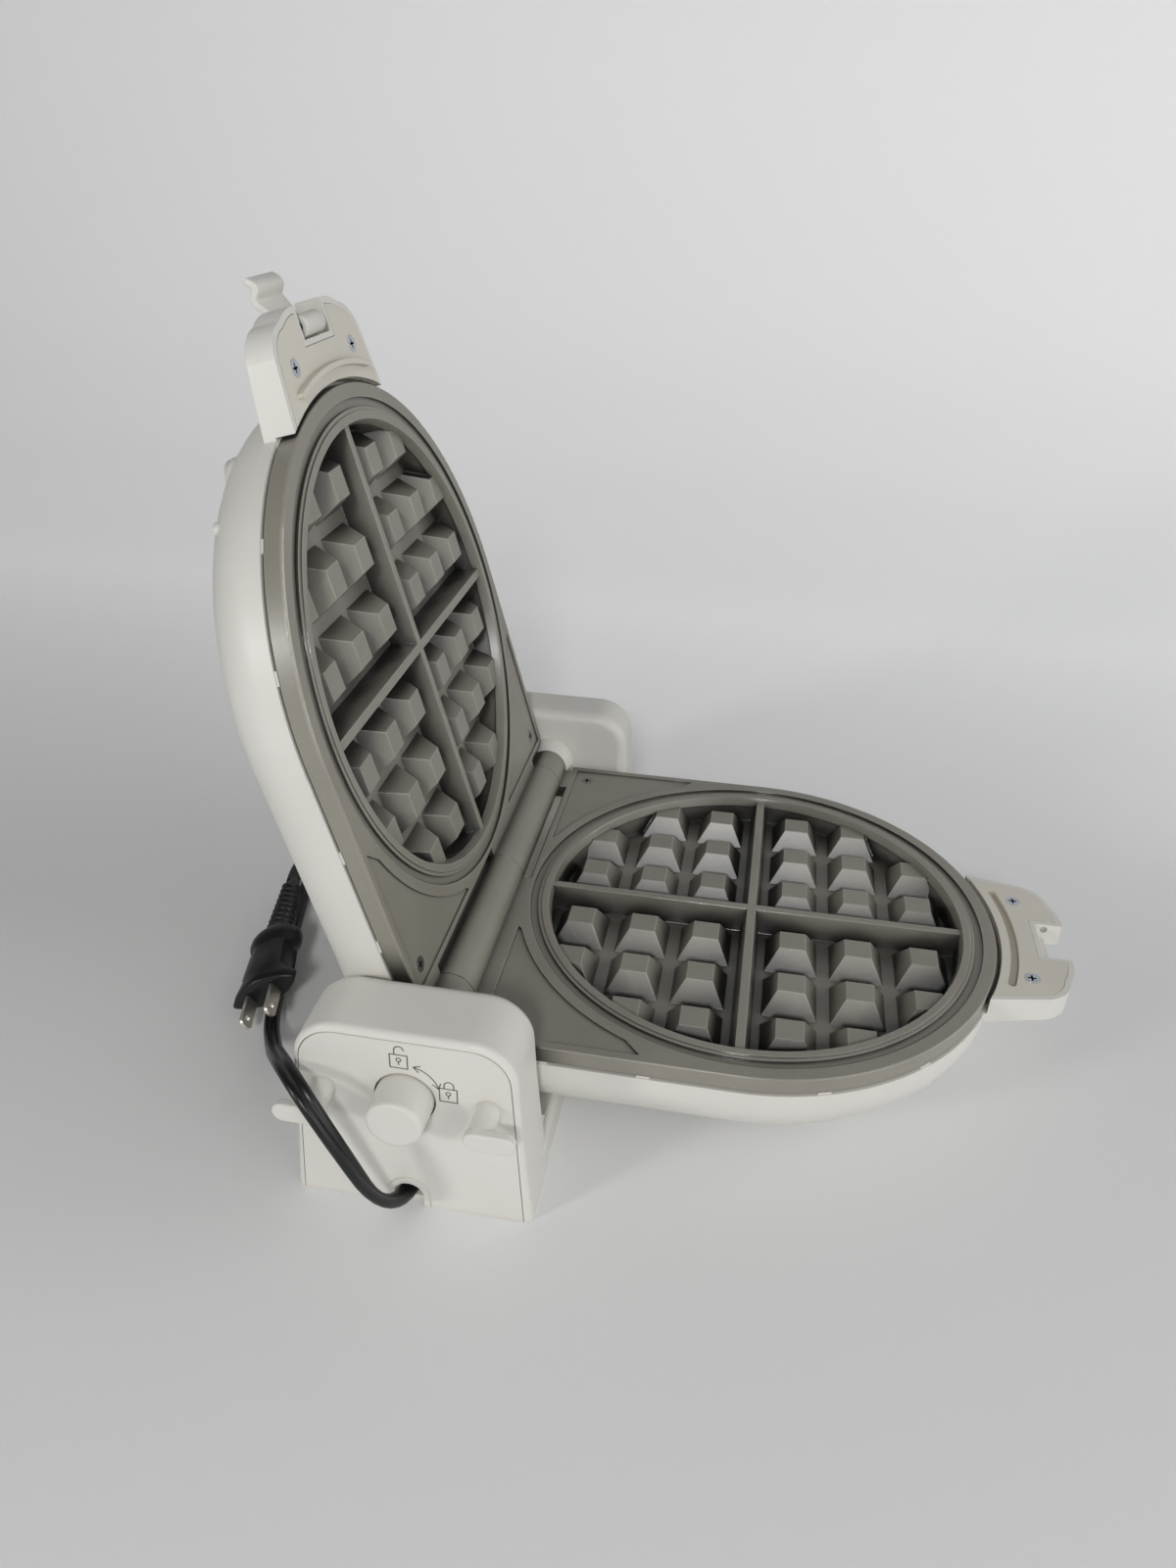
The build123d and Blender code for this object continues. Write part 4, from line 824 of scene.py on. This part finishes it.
# %% Node tree for ridges and relief ribs
rib_inputs = {
    "Core": ("NodeSocketGeometry", None),
    "Rib Count": ("NodeSocketInt", 9),
    "First Rib": ("NodeSocketFloat", 43.0 * MM),
    "Rib Pitch": ("NodeSocketFloat", 4.1 * MM),
    "Root Half Width": ("NodeSocketFloat", 6.5 * MM),
    "Tip Half Width": ("NodeSocketFloat", 4.5 * MM),
    "Thickness Share": ("NodeSocketFloat", 0.78),
    "Slant": ("NodeSocketFloat", radians(20)),
    "Rib Bead": ("NodeSocketFloat", 0.85 * MM),
    "Ridge Count": ("NodeSocketInt", 9),
    "First Ridge": ("NodeSocketFloat", 10.5 * MM),
    "Ridge Pitch": ("NodeSocketFloat", 1.8 * MM),
    "Ridge Offset": ("NodeSocketFloat", 10.3 * MM),
    "Ridge Taper": ("NodeSocketFloat", -0.105 * MM),
    "Ridge Half Length": ("NodeSocketFloat", 4.6 * MM),
    "Ridge Bead": ("NodeSocketFloat", 0.5 * MM),
    "Material": ("NodeSocketMaterial", None),
}
ribs, rib_keys, given = geometry_tree("plug ribs", rib_inputs)

ring = ribs.nodes.new("GeometryNodeCurvePrimitiveCircle")
ring.inputs["Resolution"].default_value = 32
ring.inputs["Radius"].default_value = 1.0
index = ribs.nodes.new("GeometryNodeInputIndex").outputs["Index"]
share = maths(ribs, "DIVIDE", index, maths(ribs, "SUBTRACT", given["Rib Count"], 1))
narrowing = maths(ribs, "SUBTRACT", given["Tip Half Width"], given["Root Half Width"])
width = maths(ribs, "ADD", given["Root Half Width"], maths(ribs, "MULTIPLY", share, narrowing))
rib_rows = row_of(
    ribs,
    given["Rib Count"],
    vector(ribs, given["First Rib"], 0, 0),
    vector(ribs, given["Rib Pitch"], 0, 0),
    ring.outputs["Curve"],
    vector(ribs, 0, pi / 2, given["Slant"]),
    vector(ribs, maths(ribs, "MULTIPLY", width, given["Thickness Share"]), width, 1),
)
stick = ribs.nodes.new("GeometryNodeCurvePrimitiveLine")
low_end = maths(ribs, "MULTIPLY", given["Ridge Half Length"], -1)
ribs.links.new(vector(ribs, 0, 0, low_end), stick.inputs["Start"])
ribs.links.new(vector(ribs, 0, 0, given["Ridge Half Length"]), stick.inputs["End"])
joined = ribs.nodes.new("GeometryNodeJoinGeometry")
ribs.links.new(given["Core"], joined.inputs["Geometry"])
ribs.links.new(swept(ribs, rib_rows, given["Rib Bead"]), joined.inputs["Geometry"])
for side in (1, -1):
    offset = maths(ribs, "MULTIPLY", given["Ridge Offset"], side)
    taper = maths(ribs, "MULTIPLY", given["Ridge Taper"], side)
    ridge_row = row_of(
        ribs,
        given["Ridge Count"],
        vector(ribs, given["First Ridge"], offset, 0),
        vector(ribs, given["Ridge Pitch"], taper, 0),
        stick.outputs["Curve"],
        vector(ribs, 0, 0, 0),
        vector(ribs, 1, 1, 1),
    )
    ribs.links.new(swept(ribs, ridge_row, given["Ridge Bead"]), joined.inputs["Geometry"])
close_tree(ribs, joined.outputs["Geometry"], given["Material"])
apply_tree(plug_core, ribs, rib_keys, rib_inputs, finishes["black_cord"])
print("inputs of the tree:", len(rib_keys))

# %% Plug in its place
supply_plug = baked(plug_core, "supply_plug", plug_frame)
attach(supply_plug, "stand")
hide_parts("plug_body")
print("triangles of the plug:", sum(len(p.vertices) - 2 for p in supply_plug.data.polygons))

# %% [markdown]
# The blades are stamped flat, with bevelled tips and a round hole, so each is a filled outline
# with a hole, given its thickness and a fine rounded edge by the curve itself.

# %% Plug blades
blade_width = 6.35
blade_thickness = 1.5
blade_pitch = 12.7
blade_rooted = 3.0
blade_edge = 0.18
tip_slope = 1.5
hole_from_tip = 4.5
hole_radius = 1.55
hole_points = 24


def blade(offset):
    """One blade in the plug's frame, standing across the line that joins the two."""
    half, tip = blade_width / 2 - blade_edge, -blade_length + blade_edge
    outline = [
        (blade_rooted, -half),
        (blade_rooted, half),
        (tip + tip_slope, half),
        (tip, half - tip_slope),
        (tip, tip_slope - half),
        (tip + tip_slope, -half),
    ]
    hole = []
    for k in range(hole_points):
        angle = 2 * pi * k / hole_points
        along = hole_from_tip - blade_length + hole_radius * cos(angle)
        hole.append((along, hole_radius * sin(angle)))
    curve = bpy.data.curves.new("blade", "CURVE")
    curve.dimensions = "2D"
    curve.fill_mode = "BOTH"
    curve.extrude = (blade_thickness / 2 - blade_edge) * MM
    curve.bevel_depth = blade_edge * MM
    curve.bevel_resolution = 2
    closed_line(curve, outline, MM)
    closed_line(curve, hole, MM)
    curve.materials.append(finishes["nickel"])
    upright = Matrix(((1, 0, 0), (0, 0, -1), (0, 1, 0))).to_4x4()
    place = plug_frame @ Matrix.Translation((0, offset * MM, 0)) @ upright
    return baked(in_scene("blade", curve), "blade", place)


bm = bmesh.new()
for side in (1, -1):
    part = blade(side * blade_pitch / 2)
    bm.from_mesh(part.data)
    bpy.data.objects.remove(part)
contacts_mesh = mesh_from("plug_contacts", bm)
contacts_mesh.materials.append(finishes["nickel"])
plug_contacts = in_scene("plug_contacts", contacts_mesh)
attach(plug_contacts, "stand")
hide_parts("plug_blades")
print("blade faces:", len(contacts_mesh.polygons))

# %% [markdown]
# The lead is soft and carries the plug at its free end.

# %% [markdown]
# ## Spring of the push knob
# The spring sits between the washer and the cup behind the control face and shortens as the
# knob is pressed. A helix swept with a round wire is a path rule, so Geometry Nodes makes it.

# %% Wire spring
wire_radius = 0.6 * MM
coil_radius = 5.5 * MM
spring_turns = 3
steps_in_turn = 40
spring_low, spring_high = (Vector(corner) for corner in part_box("knob_spring"))
spring_middle = (spring_low + spring_high) / 2
spring_length = spring_high.y - spring_low.y - 2 * wire_radius

helix_inputs = {
    "Turns": ("NodeSocketFloat", float(spring_turns)),
    "Coil Radius": ("NodeSocketFloat", coil_radius),
    "Wire Radius": ("NodeSocketFloat", wire_radius),
    "Length": ("NodeSocketFloat", spring_length),
    "Material": ("NodeSocketMaterial", None),
}
helix, helix_keys, given = geometry_tree("wire spring", helix_inputs)
spiral = helix.nodes.new("GeometryNodeCurveSpiral")
spiral.inputs["Resolution"].default_value = steps_in_turn
helix.links.new(given["Turns"], spiral.inputs["Rotations"])
helix.links.new(given["Coil Radius"], spiral.inputs["Start Radius"])
helix.links.new(given["Coil Radius"], spiral.inputs["End Radius"])
helix.links.new(given["Length"], spiral.inputs["Height"])
close_tree(helix, swept(helix, spiral.outputs["Curve"], given["Wire Radius"]), given["Material"])

spring_core = in_scene("spring core", bpy.data.meshes.new("spring core"))
apply_tree(spring_core, helix, helix_keys, helix_inputs, finishes["steel"])
spring_foot = Vector((spring_middle.x, spring_low.y + wire_radius, spring_middle.z))
spring_place = Matrix.Translation(spring_foot) @ Matrix.Rotation(-pi / 2, 4, "X")
press_spring = baked(spring_core, "press_spring", spring_place)
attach(press_spring, "stand")
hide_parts("knob_spring")
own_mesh(press_spring)

# %% [markdown]
# ## Latch clip
# The clip is a moulded strip of even thickness, bent like an S: the arm leaves the barrel, turns
# back over the handle's edge and ends in a lip for the finger. Its head is wider than its arm.
# The strip's outline is its middle line set out to both sides, so the thickness stays even.

# %% Profile of the clip
lid_open = radians(105)
clip_open = radians(120)
hinge_level = 52.5
clip_pivot_along, clip_pivot_depth = 234.8, -3.7
strip_half = 1.2
strip_edge = 0.5
arm_half, head_half = 8.0, 10.8
flare_start, flare_end = 10.6, 13.0
strip_corners = [(2.4, 0.4), (3.6, 4.5), (4.5, 15.4), (0.6, 17.0), (0.2, 18.6), (1.4, 21.4)]
corner_reach = 1.7
corner_steps = 7
run_per_bend = 2.2

lid_along = Vector((cos(lid_open), 0, sin(lid_open)))
lid_depth = Vector((sin(lid_open), 0, -cos(lid_open)))
clip_out = lid_along * cos(clip_open) - lid_depth * sin(clip_open)
clip_along = Vector((0, 1, 0)).cross(clip_out)
hinge_line = Vector((0, 0, hinge_level))
clip_pivot = hinge_line + clip_pivot_along * lid_along + clip_pivot_depth * lid_depth
clip_turn = Matrix((clip_out, clip_along, Vector((0, 1, 0)))).transposed().to_4x4()
clip_frame = Matrix.Translation(clip_pivot * MM) @ clip_turn


def eased(corners):
    """The corner points with each inner corner replaced by a quadratic bend."""
    line = [Vector(corners[0])]
    for before, corner, after in zip(corners, corners[1:], corners[2:]):
        before, corner, after = Vector(before), Vector(corner), Vector(after)
        cut_in = min(corner_reach, (before - corner).length / run_per_bend)
        cut_out = min(corner_reach, (after - corner).length / run_per_bend)
        start = corner + cut_in * (before - corner).normalized()
        end = corner + cut_out * (after - corner).normalized()
        for k in range(corner_steps + 1):
            t = k / corner_steps
            line.append((1 - t) ** 2 * start + 2 * t * (1 - t) * corner + t * t * end)
    line.append(Vector(corners[-1]))
    return line


def strip_outline(line):
    """Both sides of a line at an even distance, closed into one loop."""
    sides = ([], [])
    for k, point in enumerate(line):
        heading = (line[min(k + 1, len(line) - 1)] - line[max(k - 1, 0)]).normalized()
        across = Vector((-heading.y, heading.x))
        sides[0].append(point + strip_half * across)
        sides[1].append(point - strip_half * across)
    return sides[0] + sides[1][::-1]


def clip_half_width(along):
    """Half the clip's width at a place along it: the arm's, the head's or on the flare."""
    share = min(1, max(0, (along - flare_start) / (flare_end - flare_start)))
    return arm_half + share * (head_half - arm_half)


def prism(bm, outline, half_width):
    """Side walls over an outline, as wide as half_width says at each point; gives both rims."""
    rims = [
        [bm.verts.new((p[0] * MM, p[1] * MM, side * half_width(p[1]) * MM)) for p in outline]
        for side in (-1, 1)
    ]
    for k in range(len(outline)):
        j = (k + 1) % len(outline)
        bm.faces.new((rims[0][k], rims[0][j], rims[1][j], rims[1][k]))
    return rims


def rounded_object(name, bm, width):
    """A mesh object from bm with its edges rounded by a bevel."""
    obj = in_scene(name, mesh_from(name, bm))
    bevel = obj.modifiers.new("edges", "BEVEL")
    bevel.width = width
    bevel.segments = 3
    bevel.limit_method = "ANGLE"
    bevel.angle_limit = radians(50)
    return obj


clip_line = eased(strip_corners)
clip_outline = strip_outline(clip_line)
bm = bmesh.new()
for rim in prism(bm, clip_outline, clip_half_width):
    for k in range(len(clip_line) - 1):
        bm.faces.new((rim[k], rim[k + 1], rim[-2 - k], rim[-1 - k]))
clip_strip = rounded_object("clip strip", bm, strip_edge * MM)
print("points of the clip's outline:", len(clip_outline))

# %% Barrel and clip in place
barrel_radius, barrel_bore = 3.9, 1.7
barrel_edge = 0.4
barrel_steps = 40


def circle(radius):
    """Points of a circle about the clip's pivot."""
    angles = [2 * pi * k / barrel_steps for k in range(barrel_steps)]
    return [(radius * cos(angle), radius * sin(angle)) for angle in angles]


bm = bmesh.new()
outside = prism(bm, circle(barrel_radius), lambda along: arm_half)
bore = prism(bm, circle(barrel_bore), lambda along: arm_half)
for outer, inner in zip(outside, bore):
    for k in range(barrel_steps):
        j = (k + 1) % barrel_steps
        bm.faces.new((outer[k], outer[j], inner[j], inner[k]))
clip_barrel = rounded_object("clip barrel", bm, barrel_edge * MM)
join = clip_strip.modifiers.new("barrel", "BOOLEAN")
join.operation = "UNION"
join.solver = "EXACT"
join.object = clip_barrel
latch_piece = baked(clip_strip, "latch_strip", clip_frame)
bpy.data.objects.remove(clip_barrel)
latch_piece.data.materials.append(finishes["white_plastic"])
latch_piece.data.shade_smooth()
latch_piece.data.set_sharp_from_angle(angle=radians(40))
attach(latch_piece, "latch_clip")
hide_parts("latch")
print("faces of the latch clip:", len(latch_piece.data.polygons))

# %% [markdown]
# ## Printed signs
# The control face carries an open padlock, a shut padlock and a double arrow in thin grey
# lines. Each line is a flat band lying on the leaning face.

# %% Signs on the control face
face_foot = 136.7
face_lean = radians(2.287)
print_lift = 0.04
line_width = 0.42
mitre_limit = 0.4
open_lock, shut_lock = (-1.3, 68.8), (15.6, 56.6)
lock_half_width, lock_half_height = 3.1, 2.9
bow_radius, bow_steps, bow_aside = 1.7, 8, 0.3
bow_lift_shut, bow_lift_open = 1.4, 2.0
keyhole_radius, keyhole_lift, keyhole_steps = 0.8, 0.7, 12
slit_top, slit_foot = -0.1, -1.5
arrow_centre, arrow_radius = (1.4, 56.2), 11.2
arrow_start, arrow_end, arrow_steps = 78, 14, 10
barb_length, barb_half_width = 2.3, 1.6


def on_face(x, z):
    """A point just over the leaning face, from its width and height in millimetres."""
    slope = sin(face_lean) / cos(face_lean)
    return Vector((x * MM, (-face_foot + z * slope - print_lift) * MM, z * MM))


def arc(centre, radius, start, end, steps):
    """Points of an arc between two angles in degrees."""
    angles = [radians(start + (end - start) * k / steps) for k in range(steps + 1)]
    return [(centre[0] + radius * cos(a), centre[1] + radius * sin(a)) for a in angles]


def padlock(x, z, shut):
    """Lines of a padlock whose body stands about (x, z)."""
    left, right = x - lock_half_width, x + lock_half_width
    low, high = z - lock_half_height, z + lock_half_height
    body = [(left, low), (right, low), (right, high), (left, high), (left, low)]
    bow_centre = (x + bow_aside, high + (bow_lift_shut if shut else bow_lift_open))
    bow = [(bow_centre[0] - bow_radius, high)] + arc(bow_centre, bow_radius, 180, 0, bow_steps)
    if shut:
        bow.append((bow_centre[0] + bow_radius, high))
    keyhole = arc((x, z + keyhole_lift), keyhole_radius, 0, 360, keyhole_steps)
    slit = [(x, z + slit_top), (x, z + slit_foot)]
    return [body, bow, keyhole, slit]


def double_arrow():
    """Lines of a bent arrow with a head at both ends."""
    bend = arc(arrow_centre, arrow_radius, arrow_start, arrow_end, arrow_steps)
    lines = [bend]
    for tip, away in ((bend[0], bend[1]), (bend[-1], bend[-2])):
        heading = Vector((away[0] - tip[0], away[1] - tip[1])).normalized()
        across = Vector((-heading.y, heading.x))
        barbs = []
        for side in (-1, 1):
            barbs.append(tuple(Vector(tip) + barb_length * heading + side * barb_half_width * across))
        lines.append([barbs[0], tip, barbs[1]])
    return lines


def band(bm, line):
    """A flat band of the printed line's width along a line on the face."""
    closed = line[0] == line[-1]
    points = [Vector(p) for p in (line[:-1] if closed else line)]
    count = len(points)
    rows = []
    for k, point in enumerate(points):
        before = points[k - 1] if closed or k > 0 else None
        after = points[(k + 1) % count] if closed or k < count - 1 else None
        one = (point - before).normalized() if before is not None else (after - point).normalized()
        two = (after - point).normalized() if after is not None else one
        across = Vector((-(one + two).y, (one + two).x)).normalized()
        reach = line_width / 2 / max(mitre_limit, across.dot(Vector((-one.y, one.x))))
        edges = (point + reach * across, point - reach * across)
        rows.append([bm.verts.new(on_face(p.x, p.y)) for p in edges])
    for k in range(count if closed else count - 1):
        first, second = rows[k], rows[(k + 1) % count]
        bm.faces.new((first[0], first[1], second[1], second[0]))


bm = bmesh.new()
for line in padlock(*open_lock, shut=False) + padlock(*shut_lock, shut=True) + double_arrow():
    band(bm, line)
bmesh.ops.recalc_face_normals(bm, faces=bm.faces)
for face in bm.faces:
    if face.normal.y > 0:
        face.normal_flip()
sign_mesh = bpy.data.meshes.new("printed_signs")
bm.to_mesh(sign_mesh)
bm.free()
sign_mesh.materials.append(finishes["grey_rubber"])
signs = in_scene("printed_signs", sign_mesh)
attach(signs, "stand")
print("faces of the signs:", len(sign_mesh.polygons))
